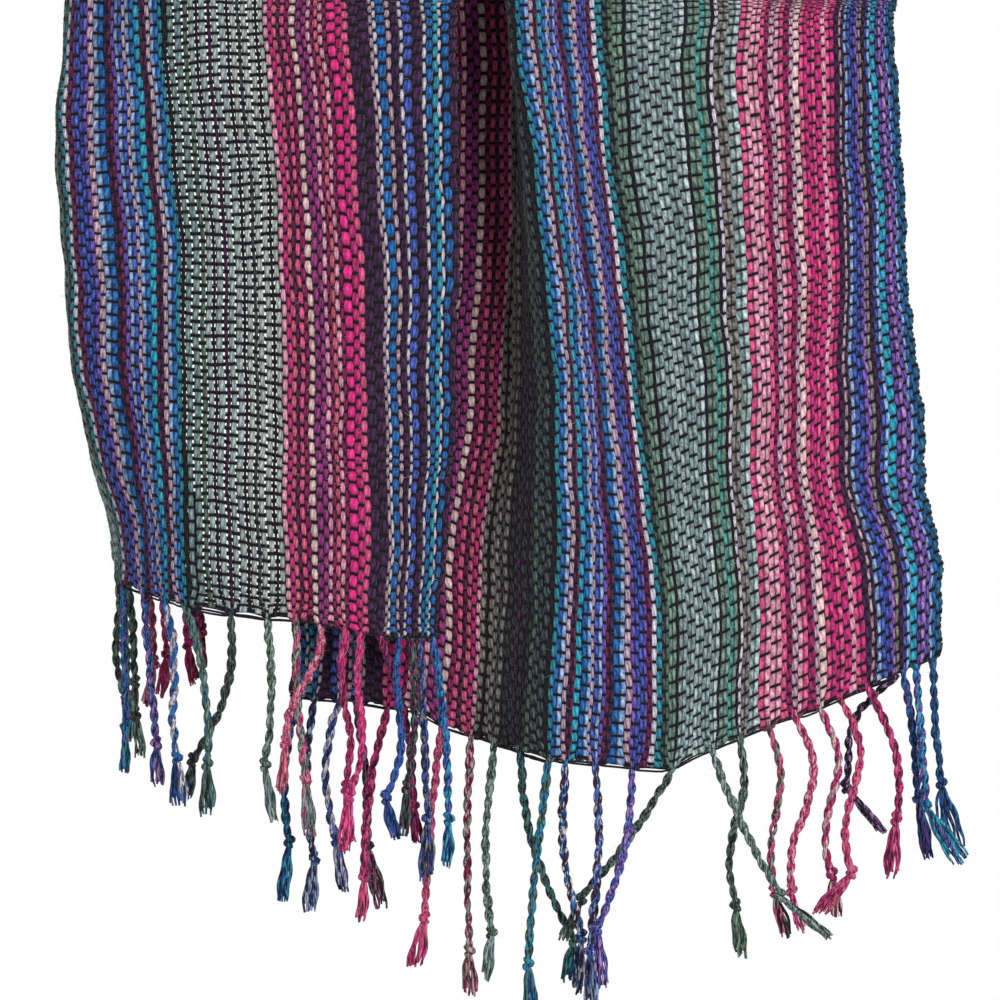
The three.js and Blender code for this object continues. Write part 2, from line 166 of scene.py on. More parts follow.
# Each strand: root across the cloth, then dx, drop, bow, sway and front of its knot, tip of its tassel
# sideways and below, fan, and the yarns of its two plies and of its flecks.
RIGHT_STRANDS = [
    (3, -3.3, 47, -3.3, 0, 0, -2.5, 19, 2, "navy", "azure", "cyan"),
    (8, 0, 52.7, -2.7, 0, -1, -1.7, 16.5, 2.5, "navy", "plum", "sky"),
    (16, -0.9, 45.3, -4, 0, 0, 2.7, 17, 2, "navy", "snow", "royal"),
    (22, 3.7, 47, 1, 0, -3, 4.3, 20, 2.5, "plum", "dusty", "taupe"),
    (32, -7.7, 55.7, -2.3, 0, 2, -1.3, 14.7, 2, "magenta", "wine", "rose"),
    (50, -5.7, 63.7, -0.8, 0, 0, -3.3, 16.3, 3.5, "rose", "salmon", "magenta"),
    (60, -0.6, 70.6, -1, 0, 0, 0.5, 14, 3, "taupe", "wine", "pale_pink"),
    (70, -0.7, 62, -2.3, 0, 0, -1.7, 15, 1.6, "moss", "sage", "mist"),
    (84.5, 18, 62, -4.3, 0, -10, -2, 13, 2.6, "moss", "slate", "teal"),
    (97.5, -7, 67.3, -1, 0, 2, 1, 15.7, 2.5, "teal", "moss", "azure"),
    (103, 5.5, 57.7, -3.3, 0, -8, -1.3, 18, 2, "azure", "plum", "snow"),
    (113.5, -2, 60.7, 1.7, 0, 0, 0.7, 18.3, 3, "royal", "plum", "sky"),
    (126, -11.7, 51.7, 3.3, 0, 11, 2, 20, 2, "royal", "violet", "lilac"),
    (140, -30, 42.7, 2, 0, -5, -6, 13.5, 2, "moss", "slate", "sage"),
    (155, 22, 47, -1.7, 0, 9, 16, 14.3, 2, "sage", "mist", "black"),
    (165, -1.7, 55, -0.7, 2, -3, 2, 16.3, 2.2, "slate", "moss", "sage"),
    (175, 1.7, 53.7, 1.7, 2, -3, 3.7, 15, 2.5, "rose", "taupe", "black"),
    (184, -1.7, 57, 4.3, 3, 0, 3, 13, 2, "rose", "magenta", "pale_pink"),
    (192, 4, 55, 2.3, 3, -2, 1.7, 13, 2, "magenta", "cream", "wine"),
    (199, 3.3, 56.7, 2.7, 3.3, 5, -11, 13.3, 3, "rose", "magenta", "salmon"),
    (208, 9, 43, 4.7, 0, 6, -1.3, 19, 3, "magenta", "wine", "rose"),
    (215.5, -15, 35.7, -6.3, -1.5, -12, 12, 14.7, 2, "plum", "black", "lilac"),
    (219, 5, 40.7, 0.7, 0, -2, 3.2, 19.3, 2, "azure", "navy", "violet"),
    (223, 2.9, 44.7, 0, 0, 5, 11, 19, 4, "azure", "violet", "cyan"),
    (228, 3, 40, -0.7, 0, -5, 4, 20.7, 5, "navy", "deep_teal", "azure"),
]
LEFT_STRANDS = [
    (2, 5.3, 59, 1.3, 0, 0, -0.7, 15.3, 2, "azure", "royal", "cyan"),
    (8, 2.3, 59.3, 0, 0, -4, -0.3, 20, 3, "royal", "navy", "taupe"),
    (13, -1, 49, 2, 0, 0, -1, 15, 2, "maroon", "slate", "moss"),
    (18, -4.5, 52.3, 2.7, -1.7, 4, 3.5, 13, 2, "royal", "azure", "navy"),
    (26, 11, 55.7, 2.7, 0, -16, 1, 12, 2, "wine", "plum", "magenta"),
    (33, -3.7, 53, 2, -1.7, 2, -1.7, 18, 2.5, "hot_pink", "magenta", "rose"),
    (39, 0.3, 51.5, 0, -1.3, -4, 1.5, 18, 2, "magenta", "rose", "hot_pink"),
    (48, -12, 37.7, 0, 1.7, 8, -1.7, 16, 1.5, "rose", "salmon", "pale_pink"),
    (58, 3.3, 52, -1, 0, -4, 1.3, 18, 2.5, "rose", "taupe", "mist"),
    (68, -0.7, 48.3, 1.7, 0, 0, 3, 18, 1.5, "moss", "sage", "mist"),
    (81, -13, 48.3, 5, 0, -8, -2, 12, 2, "slate", "moss", "black"),
    (97, 7, 51.3, 2.7, 0, 2, 0, 16.3, 3, "moss", "sage", "deep_teal"),
    (108, 4, 51.3, 1, 1, 2, 1, 15.3, 4, "azure", "snow", "navy"),
    (121.5, 4.3, 49.7, 0, 0, 0, 0.3, 13, 2.5, "violet", "azure", "lilac"),
    (137, 0.7, 47, 0, 0, 0, -0.3, 15.3, 2, "azure", "violet", "teal"),
    (150, 6, 50, -3.3, 1.7, 0, 1.7, 13.7, 2, "slate", "moss", "sage"),
    (160, 4, 49, 1.5, 0, 0, 0.7, 15, 2, "moss", "sage", "mist"),
    (169, 6.5, 49, 2, 0, 0, -1, 13, 2, "slate", "sage", "moss"),
    (181, 7, 46, 2, 0.7, 0, -2.7, 13.7, 2, "rose", "magenta", "pale_pink"),
    (190, 5, 45, 0.7, 0, 0, -2, 14, 2, "magenta", "hot_pink", "rose"),
    (199, 6, 44, 1, 0, 0, 2, 13, 2, "magenta", "rose", "wine"),
    (207, 6, 41, 0, 0, 0, 0, 12, 2, "wine", "magenta", "rose"),
    (217, 1, 34, 1, 0, 0, 0, 12, 2, "navy", "azure", "violet"),
    (227, 0, 34, -1, 0, 0, 1, 12, 2, "azure", "navy", "cyan"),
]

# Waves over the cloth: height, length along it and across it in millimetres, and start in radians.
SIDEWAYS = ((1, 67, 95, 0.7), (0.8, 41, -61, 2.1), (0.3, 19, 33, 4.0))
LENGTHWAYS = ((0.6, 140, 52, 1.1), (0.3, -90, 23, 5.0))
OUTWARDS = ((1, 38, 47, 3.0), (1, 71, -29, 0.4))
SCALLOPS = ((1, 11.3, math.inf, 1.0), (0.6, 17.9, math.inf, 0.0), (0.8, 43, math.inf, 0.0))

# The drift of the dye along each yarn: length of a wave, and how much lighter or darker it makes the yarn.
DRIFTS = ((61, 0.1), (23, 0.07), (9, 0.05))

# Name, place, size in metres and power in watts.
LIGHTS = [
    ("key", (1.2, -2.0, 0.5), 1.0, 46.0),
    ("fill", (-1.6, -1.5, -0.2), 1.6, 12.0),
]


# ---------------------------------------------------------------- colours of the yarns

def linear(hex_colour: str) -> tuple[float, float, float, float]:
    """Turns an sRGB hex colour into linear light.

    Args:
        hex_colour: six hex digits after a #.

    Returns:
        Red, green, blue and an alpha of 1.
    """
    parts = [int(hex_colour[i:i + 2], 16) / 255 for i in (1, 3, 5)]
    red, green, blue = (p / 12.92 if p <= 0.04045 else ((p + 0.055) / 1.055) ** 2.4 for p in parts)
    return red, green, blue, 1.0


@dataclass(frozen=True)
class Yarn:
    """A hank-dyed yarn: the colours of its lighter and its darker ply."""

    light: str
    dark: str


YARNS: dict[str, Yarn] = {
    "black": Yarn("#2a2430", "#100c14"),
    "navy": Yarn("#3a5596", "#171c44"),
    "royal": Yarn("#5a76d8", "#242f80"),
    "violet": Yarn("#8a6ac8", "#3e2c84"),
    "azure": Yarn("#3284d0", "#123a7c"),
    "sky": Yarn("#bcd6f4", "#4c7cc0"),
    "cyan": Yarn("#42c0d4", "#126e98"),
    "teal": Yarn("#3aa6b4", "#125068"),
    "turquoise": Yarn("#68c2b8", "#2f7672"),
    "deep_teal": Yarn("#3478a0", "#123a58"),
    "snow": Yarn("#fbf6fd", "#a89fbe"),
    "blush": Yarn("#e6c6d4", "#86607c"),
    "lilac": Yarn("#c49ad4", "#704694"),
    "plum": Yarn("#57305f", "#221028"),
    "maroon": Yarn("#7c3060", "#381030"),
    "wine": Yarn("#b0306e", "#5c1240"),
    "magenta": Yarn("#ec4394", "#9c1c5e"),
    "hot_pink": Yarn("#ff4aa4", "#e01c7c"),
    "rose": Yarn("#ff76a4", "#c23a74"),
    "salmon": Yarn("#f27c94", "#a63f66"),
    "pale_pink": Yarn("#ffc6d4", "#d0709a"),
    "dusty": Yarn("#bc4c98", "#702462"),
    "cream": Yarn("#ffe6e2", "#d49ea6"),
    "sage": Yarn("#93b0a2", "#4c6a5e"),
    "moss": Yarn("#6c8876", "#2e443a"),
    "slate": Yarn("#5b686c", "#0f1215"),
    "charcoal": Yarn("#454b50", "#090a0c"),
    "taupe": Yarn("#aaa69e", "#54504f"),
    "silver": Yarn("#dceaea", "#84999b"),
    "mist": Yarn("#b2c8c8", "#5f7879"),
    "ash": Yarn("#bccbc8", "#6a827f"),
    "frost": Yarn("#94aeaa", "#446662"),
    "pearl": Yarn("#ccd6d0", "#7c8984"),
}

# The warp from the inner selvedge to the outer one, as it is threaded: the yarn, or the two yarns that
# work side by side as one, and the share of the band's width that they take.
WARP_CHART: dict[str, str] = {
    "A": ("plum:7 azure:7 snow:3 cyan:5 azure:6 snow:3 plum:9 royal:8 snow:3 plum:7 blush:4 azure:8 "
          "snow:3 blush:3 plum:10"),
    "C": ("plum:8 rose:6 magenta:7 hot_pink:9 wine:4 pale_pink:5 salmon:5 wine:4 pale_pink:5 dusty:6 "
          "dusty:7 cream:7 wine:5 rose:5 maroon:4 salmon:5 magenta:5 pale_pink:5"),
    "D": ("pearl:6 black:3 pearl:6 pearl:6 slate:4 pearl:6 black:3 ash:7 ash:6 plum:4 ash:7 black:3 "
          "ash:6 moss:5 frost:7 frost:6 black:4"),
    "E": ("teal:4 azure+sky:9 blush:4 plum+maroon:7 cyan:6 azure+sky:10 blush:3 royal+sky:9 violet:4 "
          "maroon+plum:9 azure+sky:13 blush:6 violet+royal:9 royal+violet:8 maroon:6 snow:5"),
    "F": ("teal:7 slate+moss:9 sage+sage:9 black:3 mist+mist:10 mist+mist:10 silver+mist:10 mist+mist:10 "
          "mist+silver:10 black:3 sage+sage:11 turquoise+sage:10 black:3 snow:3 taupe+taupe:10 mist+silver:12"),
    "G": ("rose+pale_pink:10 pale_pink+pale_pink:10 rose:4 wine:5 blush:5 pale_pink+rose:9 wine:6 "
          "blush:4 cream:6 rose+magenta:8 magenta+rose:8 magenta:6 pale_pink:4 rose+magenta:9 plum:5"),
    "H": ("blush+plum:6 sky+royal:8 royal+violet:8 lilac+taupe:6 plum:4 royal+sky:7 cyan:7 "
          "violet+lilac:8 violet:4 sky+azure:6 deep_teal:5"),
}

# The floats of each band: half of their length as a share of the pitch, half of their width at the ends
# and in the middle as a share of the yarn's space, and what is left of the colour at the sides, painted shade
# where the neighbours crowd in.
FLOATS: dict[str, tuple[float, float, float, float]] = {
    "A": (0.55, 0.19, 0.35, 0.3),
    "C": (0.57, 0.31, 0.41, 0.34),
    "D": (0.56, 0.36, 0.4, 0.26),
    "E": (0.63, 0.41, 0.4, 0.45),
    "F": (0.64, 0.43, 0.42, 0.65),
    "G": (0.62, 0.42, 0.42, 0.5),
    "H": (0.6, 0.39, 0.42, 0.45),
}

# The dye of some yarns of band D is another one by the time that they reach the right end: partly the yarn's
# own change of dye, partly painted shade, darker yarns where that band lies deep in the fold.
RIGHT_DYE_AND_SHADE: dict[str, str] = {"pearl": "taupe", "ash": "charcoal", "frost": "slate"}
OPEN_BAND = "D"          # threaded loosely, so that light shows between its yarns


# ---------------------------------------------------------------- curves and the cloth's surface

def smooth(t: Array) -> Array:
    """A smooth step from 0 to 1."""
    t = np.clip(t, 0, 1)
    return t * t * (3 - 2 * t)


def curve_through(knots: Sequence[float], values: Sequence[float]) -> Callable[[Array], Array]:
    """A smooth curve that never overshoots between two of its knots.

    Args:
        knots: increasing places.
        values: the value at each place.

    Returns:
        A function from places to values.
    """
    x = np.asarray(knots, float)
    y = np.asarray(values, float)
    secants = np.diff(y) / np.diff(x)
    before, after = secants[:-1], secants[1:]
    total = np.where(before + after == 0, 1, before + after)
    inner = np.where(before * after > 0, 2 * before * after / total, 0)
    tangents = np.concatenate(([secants[0]], inner, [secants[-1]]))

    def curve(at: Array) -> Array:
        """The value at each place.

        Args:
            at: places.

        Returns:
            A value for each.
        """
        at = np.asarray(at, float)
        i = np.clip(np.searchsorted(x, at, side="left") - 1, 0, len(x) - 2)
        span = x[i + 1] - x[i]
        t = (at - x[i]) / span
        rest = 1 - t
        return (y[i] * (1 + 2 * t) * rest * rest + tangents[i] * span * t * rest * rest
                + y[i + 1] * t * t * (3 - 2 * t) - tangents[i + 1] * span * t * t * rest)

    return curve


class Side(Enum):
    """The side of the neck that an end hangs on, seen from the front."""

    LEFT = -1
    RIGHT = 1


@dataclass(frozen=True)
class Threading:
    """Where each warp yarn lies, worked out from the chart."""

    middles: Array               # across the cloth
    gaps: Array                  # width that each takes
    bands: list[str]
    yarns: list[tuple[str, str]]     # the inner and the outer yarn of a pair, or the same one twice
    pairs: Array                 # 1 where two yarns work as one

    @classmethod
    def read(cls, edges: Array) -> "Threading":
        """Reads the chart.

        Args:
            edges: where each band begins, and where the last one ends.

        Returns:
            The threading.
        """
        middles, gaps, bands, yarns = [], [], [], []
        for i, band in enumerate(BANDS):
            words = [word.split(":") for word in WARP_CHART[band].split()]
            shares = np.array([float(share) for _, share in words])
            widths = shares / shares.sum() * (edges[i + 1] - edges[i])
            middles.append(edges[i] + np.cumsum(widths) - widths / 2)
            gaps.append(widths)
            bands += [band] * len(words)
            yarns += [(name.split("+")[0], name.split("+")[-1]) for name, _ in words]
        pairs = np.array(["+" in word for band in BANDS for word in WARP_CHART[band].split()], float)
        return cls(np.concatenate(middles), np.concatenate(gaps), bands, yarns, pairs)

    def dyes(self, side: "Side", which: int, ply: str) -> Array:
        """The linear colour of one ply of each yarn.

        Args:
            side: the end that it hangs on.
            which: 0 for the inner yarn of each pair, 1 for the outer one.
            ply: light or dark.

        Returns:
            An array of shape (yarns, 3).
        """
        names = [pair[which] for pair in self.yarns]
        # the right end's darker yarns in band D are partly painted shade
        if side is Side.RIGHT:
            names = [RIGHT_DYE_AND_SHADE.get(name, name) for name in names]
        return np.array([linear(getattr(YARNS[name], ply))[:3] for name in names])


@dataclass
class ClothSurface:
    """The middle surface of the scarf, from the left hem over the nape to the right hem."""

    station_step: float = 1.0
    width_step: float = 1.0
    margin: float = 45.0         # how far the tables run on past the hems
    edge_margin: float = 8.0     # how far they run on past the selvedges
    edges: Array = field(init=False)
    along: Array = field(init=False)

    def __post_init__(self) -> None:
        """Works out the tables once: the path, its frames, and the walk across the cloth."""
        self.edges = np.concatenate(([0.0], np.cumsum([n * SETT for n in BANDS.values()])))
        self.ridge_at = self.edges[list(BANDS).index(RIDGE)]
        self.width = float(self.edges[-1])
        places = self._places()
        headings = [*[*SHOULDER_HEADINGS, *LEFT_HEADINGS][::-1], *NAPE_HEADINGS,
                    *SHOULDER_HEADINGS, *RIGHT_HEADINGS]
        spreads = [*LEFT_SPREAD[::-1], *[EVEN] * (2 * len(SHOULDER) + 1), *RIGHT_SPREAD]
        walked = np.concatenate(([0.0], np.cumsum(np.linalg.norm(np.diff(places[:, :3], axis=0), axis=1))))
        self.along = walked - walked[len(SHOULDER) + len(LEFT_DROP)]
        self.hem = {Side.LEFT: float(self.along[0]), Side.RIGHT: float(self.along[-1])}
        self.rises = {Side.LEFT: curve_through(*zip(*LEFT_RISE)), Side.RIGHT: curve_through(*zip(*RIGHT_RISE))}
        self.path = [curve_through(self.along, places[:, i]) for i in range(6)]
        self._tabulate(np.array(headings, float), np.array(spreads, float))

    @staticmethod
    def _places() -> Array:
        """The rows of the path as numbers.

        Returns:
            A row for each place: x, y, z, bearing, slope and soft.
        """
        left = [(-x, y, z, -bearing, slope, soft)
                for _, x, y, z, bearing, slope, soft in [*SHOULDER, *LEFT_DROP]][::-1]
        right = [row[1:] for row in [*NAPE, *SHOULDER, *RIGHT_DROP]]
        return np.array([*left, *right], float)

    def _tabulate(self, headings: Array, spreads: Array) -> None:
        """Fills the tables of frames and of the walk across the cloth.

        Args:
            headings: a row for each place on the path, a column for each band.
            spreads: the same for the spread of each band.
        """
        self.stations = np.arange(self.along[0] - self.margin, self.along[-1] + self.margin, self.station_step)
        s = self.stations
        turns = [curve_through(self.along, headings[:, i])(s) for i in range(headings.shape[1])]
        widths = [curve_through(self.along, spreads[:, i])(s) for i in range(spreads.shape[1])]
        soft = self.path[5](s)[:, None]

        def across(levels: list[Array], v: Array) -> Array:
            """Levels that turn from band to band over the soft length.

            Args:
                levels: for each band, its level at each station.
                v: places across the cloth.

            Returns:
                An array of shape (stations, places).
            """
            value = np.repeat(levels[0][:, None], len(v), axis=1)
            for i in range(1, len(levels)):
                step = smooth((v[None, :] - self.edges[i]) / soft + 0.5)
                value = value + (levels[i] - levels[i - 1])[:, None] * step
            return value

        self.widths = np.arange(-self.edge_margin, self.width + self.edge_margin, self.width_step)
        middles = self.widths[:-1] + self.width_step / 2
        heading = np.radians(across(turns, middles))
        length = across(widths, middles) * self.width_step
        walk = []
        for part in (np.cos(heading) * length, np.sin(heading) * length):
            total = np.concatenate((np.zeros((len(s), 1)), np.cumsum(part, axis=1)), axis=1)
            at = (self.ridge_at - self.widths[0]) / self.width_step
            low = int(at)
            origin = total[:, low] + (at - low) * (total[:, low + 1] - total[:, low])
            walk.append(total - origin[:, None])
        facing = np.radians(across(turns, self.widths))
        self.section = np.stack((walk[0], walk[1], -np.sin(facing), np.cos(facing)), axis=2)
        ridge = [np.stack([self.path[i](s + d) for i in range(3)], axis=1) for d in (-0.5, 0.0, 0.5)]
        way = ridge[2] - ridge[0]
        way /= np.linalg.norm(way, axis=1, keepdims=True)
        bearing, slope = np.radians(self.path[3](s)), np.radians(self.path[4](s))
        flat = np.cos(slope)
        cross = np.stack((flat * np.sin(bearing), flat * np.cos(bearing), -np.sin(slope)), axis=1)
        cross -= way * np.sum(cross * way, axis=1, keepdims=True)
        cross /= np.linalg.norm(cross, axis=1, keepdims=True)
        self.frames = np.concatenate((ridge[1], cross, np.cross(way, cross)), axis=1)

    def point(self, s: Array, v: Array, lift: Array) -> Array:
        """Points of the cloth.

        Args:
            s: distance along it from the nape, less than 0 on the left.
            v: distance across it from the inner selvedge.
            lift: height off its middle surface.

        Returns:
            An array of x, y and z in millimetres, of the shape of s with a last axis of 3.
        """
        s, v, lift = np.broadcast_arrays(np.asarray(s, float), np.asarray(v, float), np.asarray(lift, float))
        reach = np.where(s < 0, -self.hem[Side.LEFT], self.hem[Side.RIGHT]) - SPLIT
        slant = smooth((np.abs(s) - SPLIT) / reach) ** SLANT_EASE
        rise = np.where(s < 0, -self.rises[Side.LEFT](v), self.rises[Side.RIGHT](v))
        station = s - slant * rise
        row = np.clip((station - self.stations[0]) / self.station_step, 0, len(self.stations) - 1.001)
        column = np.clip((v - self.widths[0]) / self.width_step, 0, len(self.widths) - 1.001)
        i, j = row.astype(int), column.astype(int)
        p, q = (row - i)[..., None], (column - j)[..., None]
        section = ((self.section[i, j] * (1 - q) + self.section[i, j + 1] * q) * (1 - p)
                   + (self.section[i + 1, j] * (1 - q) + self.section[i + 1, j + 1] * q) * p)
        frames = self.frames[i] * (1 - p) + self.frames[i + 1] * p
        sideways = section[..., 0] + section[..., 2] * lift
        forwards = section[..., 1] + section[..., 3] * lift
        return frames[..., :3] + frames[..., 3:6] * sideways[..., None] + frames[..., 6:] * forwards[..., None]


def waves(rows: Sequence[tuple[float, float, float, float]], s: Array, v: Array) -> Array:
    """Adds up waves over the cloth.

    Args:
        rows: height, length along, length across and start of each wave.
        s: distance along the cloth.
        v: distance across it.

    Returns:
        Their sum at each place.
    """
    return sum(height * np.sin(TURN * (s / along + v / across) + start)
               for height, along, across, start in rows)


@dataclass(frozen=True)
class Drape:
    """The small disorder of hand-woven cloth that hangs: its threads wander and it puckers a little."""

    wander: float = 0.3          # of the warp, sideways
    sag: float = 0.8             # of the picks, along the cloth
    pucker: float = 0.6          # of the cloth's face
    calm_edge: float = 12.0      # the warp runs straight this near a selvedge
    edge_wave: float = 0.3       # of the selvedges themselves

    def shifted(self, s: Array, v: Array, lift: Array, width: float) -> tuple[Array, Array, Array]:
        """Moves places on the even cloth to where the disorder takes them.

        Args:
            s: distance along the cloth.
            v: distance across it.
            lift: height off its middle surface.
            width: the cloth's width.

        Returns:
            The three, moved.
        """
        calm = smooth(v / self.calm_edge) * smooth((width - v) / self.calm_edge)
        rim = smooth(1 - v / self.calm_edge) - smooth(1 - (width - v) / self.calm_edge)
        sideways = self.wander * calm * waves(SIDEWAYS, s, v) + self.edge_wave * rim * waves(SCALLOPS, s, v)
        outwards = waves(OUTWARDS[:1], s, v) * waves(OUTWARDS[1:], s, v)
        return s + self.sag * waves(LENGTHWAYS, s, v), v + sideways, lift + self.pucker * outwards


# ---------------------------------------------------------------- meshes

def quad_tubes(rings: Array) -> tuple[Array, Array]:
    """Closed tubes through rings of corners.

    Args:
        rings: corners, of shape (tubes, rings, corners, 3).

    Returns:
        The quads and the end caps, as vertex numbers.
    """
    tubes, count, sides = rings.shape[:3]
    tube = np.arange(tubes)[:, None, None] * (count * sides)
    ring = np.arange(count - 1)[None, :, None] * sides
    corner = np.arange(sides)[None, None, :]
    after = (corner + 1) % sides
    a = tube + ring + corner
    b = tube + ring + after
    quads = np.stack((a, b, b + sides, a + sides), axis=-1).reshape(-1, 4)
    first = np.arange(tubes)[:, None] * (count * sides) + np.arange(sides)[None, ::-1]
    last = np.arange(tubes)[:, None] * (count * sides) + (count - 1) * sides + np.arange(sides)[None, :]
    return quads, np.concatenate((first, last))


def enclosed_volume(points: Array, quads: Array) -> float:
    """Six times the signed volume that quads enclose, near enough to tell inside from out."""
    a, b, c, d = (points[quads[:, i]] for i in range(4))
    return float(np.sum(np.cross(a, b) * c) + np.sum(np.cross(a, c) * d))


def mesh_object(name: str, points: Array, faces: Sequence[Array],
                loop_uv: Array | None = None) -> bpy.types.Object:
    """A mesh object in the part's frame.

    Args:
        name: of the object and its mesh.
        points: in millimetres, of shape (n, 3).
        faces: arrays of vertex numbers, a row for each face.
        loop_uv: a UV pair for each face corner, in the order of faces.

    Returns:
        The new object, smooth-shaded and linked to the scene.
    """
    mesh = bpy.data.meshes.new(name)
    mesh.vertices.add(len(points))
    mesh.vertices.foreach_set("co", (np.asarray(points) * MM).astype(np.float32).ravel())
    totals = np.concatenate([np.full(len(f), f.shape[1]) for f in faces])
    corners = np.concatenate([f.ravel() for f in faces])
    starts = np.concatenate(([0], np.cumsum(totals)[:-1]))
    mesh.loops.add(len(corners))
    mesh.loops.foreach_set("vertex_index", corners.astype(np.int32))
    mesh.polygons.add(len(totals))
    mesh.polygons.foreach_set("loop_start", starts.astype(np.int32))
    mesh.polygons.foreach_set("use_smooth", np.ones(len(totals), bool))
    mesh.update(calc_edges=True)
    if loop_uv is not None:
        mesh.uv_layers.new(name="yarn").data.foreach_set("uv", loop_uv.astype(np.float32).ravel())
    mesh.validate()
    piece = bpy.data.objects.new(name, mesh)
    bpy.context.scene.collection.objects.link(piece)
    return piece


def store(mesh: bpy.types.Mesh, name: str, kind: str, values: Array, domain: str = "POINT") -> None:
    """Stores values on a mesh under a name.

    Args:
        mesh: what they are stored on.
        name: of the attribute.
        kind: FLOAT, FLOAT_VECTOR or FLOAT_COLOR.
        values: one, three or four numbers for each place; a colour may leave its alpha out.
        domain: what the places are.
    """
    if kind == "FLOAT_COLOR" and values.shape[-1] == 3:
        values = np.concatenate((values, np.ones((len(values), 1))), axis=1)
    key = {"FLOAT": "value", "FLOAT_VECTOR": "vector", "FLOAT_COLOR": "color"}[kind]
    mesh.attributes.new(name, kind, domain).data.foreach_set(key, values.astype(np.float32).ravel())


# ---------------------------------------------------------------- nodes and materials

Row = tuple[str, str, dict[str, Any], dict[Any, Any]]    # a node's name, kind, settings and inputs

ATTRIBUTE = "ShaderNodeAttribute"
BUMP = "ShaderNodeBump"
GIVEN = "GeometryNodeInputNamedAttribute"
MAPPING = "ShaderNodeMapping"
MATH = "ShaderNodeMath"
MIX = "ShaderNodeMix"
NOISE = "ShaderNodeTexNoise"
RANGE = "ShaderNodeMapRange"
VECTOR = "ShaderNodeVectorMath"
ADD = {"operation": "ADD"}
MULTIPLY = {"operation": "MULTIPLY"}
MULTIPLY_ADD = {"operation": "MULTIPLY_ADD"}
SCALE = {"operation": "SCALE"}
RGBA = {"data_type": "RGBA"}
POINT = {"vector_type": "POINT"}
YARN_UV: list[Row] = [
    ("uv", "ShaderNodeUVMap", {"uv_map": "yarn"}, {}),
    ("split", "ShaderNodeSeparateXYZ", {}, {0: "@uv"}),
]
NAP_ROUGHNESS = 0.5      # of the sheen on all the yarns
NAP_GLOSS = 0.2          # specular level: wool hardly shines


def add_node(tree: bpy.types.NodeTree, name: str, kind: str, settings: dict[str, Any],
             inputs: dict[Any, Any]) -> bpy.types.Node:
    """Adds a node.

    Args:
        tree: the tree that it joins.
        name: its name in the tree.
        kind: its type.
        settings: its properties by name.
        inputs: for each input, by name or number, a value, or an @ and the name of the node that feeds it,
            with a dot and the output's name or number where that isn't the first.

    Returns:
        The node.
    """
    node = tree.nodes.new(kind)
    node.name = name
    for key, value in settings.items():
        setattr(node, key, value)
    for key, value in inputs.items():
        if isinstance(value, str) and value.startswith("@"):
            source, _, output = value[1:].partition(".")
            pick = int(output or 0) if output.isdigit() or not output else output
            tree.links.new(tree.nodes[source].outputs[pick], node.inputs[key])
        else:
            node.inputs[key].default_value = value
    return node


def new_material(name: str, roughness: float, sheen: float, rows: Sequence[Row],
                 surface: dict[str, Any]) -> bpy.types.Material:
    """A material with a principled shader.

    Args:
        name: its name.
        roughness: of its surface.
        sheen: how much light the nap catches at the rim.
        rows: its nodes, each after those that feed it.
        surface: the shader's other inputs, as for add_node.

    Returns:
        The material.
    """
    material = bpy.data.materials.new(name)
    material.use_nodes = True
    material.node_tree.nodes.clear()
    nap = {"Roughness": roughness, "Sheen Weight": sheen, "Sheen Roughness": NAP_ROUGHNESS,
           "Specular IOR Level": NAP_GLOSS}
    for row in (*rows, ("surface", "ShaderNodeBsdfPrincipled", {}, {**nap, **surface}),
                ("output", "ShaderNodeOutputMaterial", {}, {"Surface": "@surface"})):
        add_node(material.node_tree, *row)
    return material


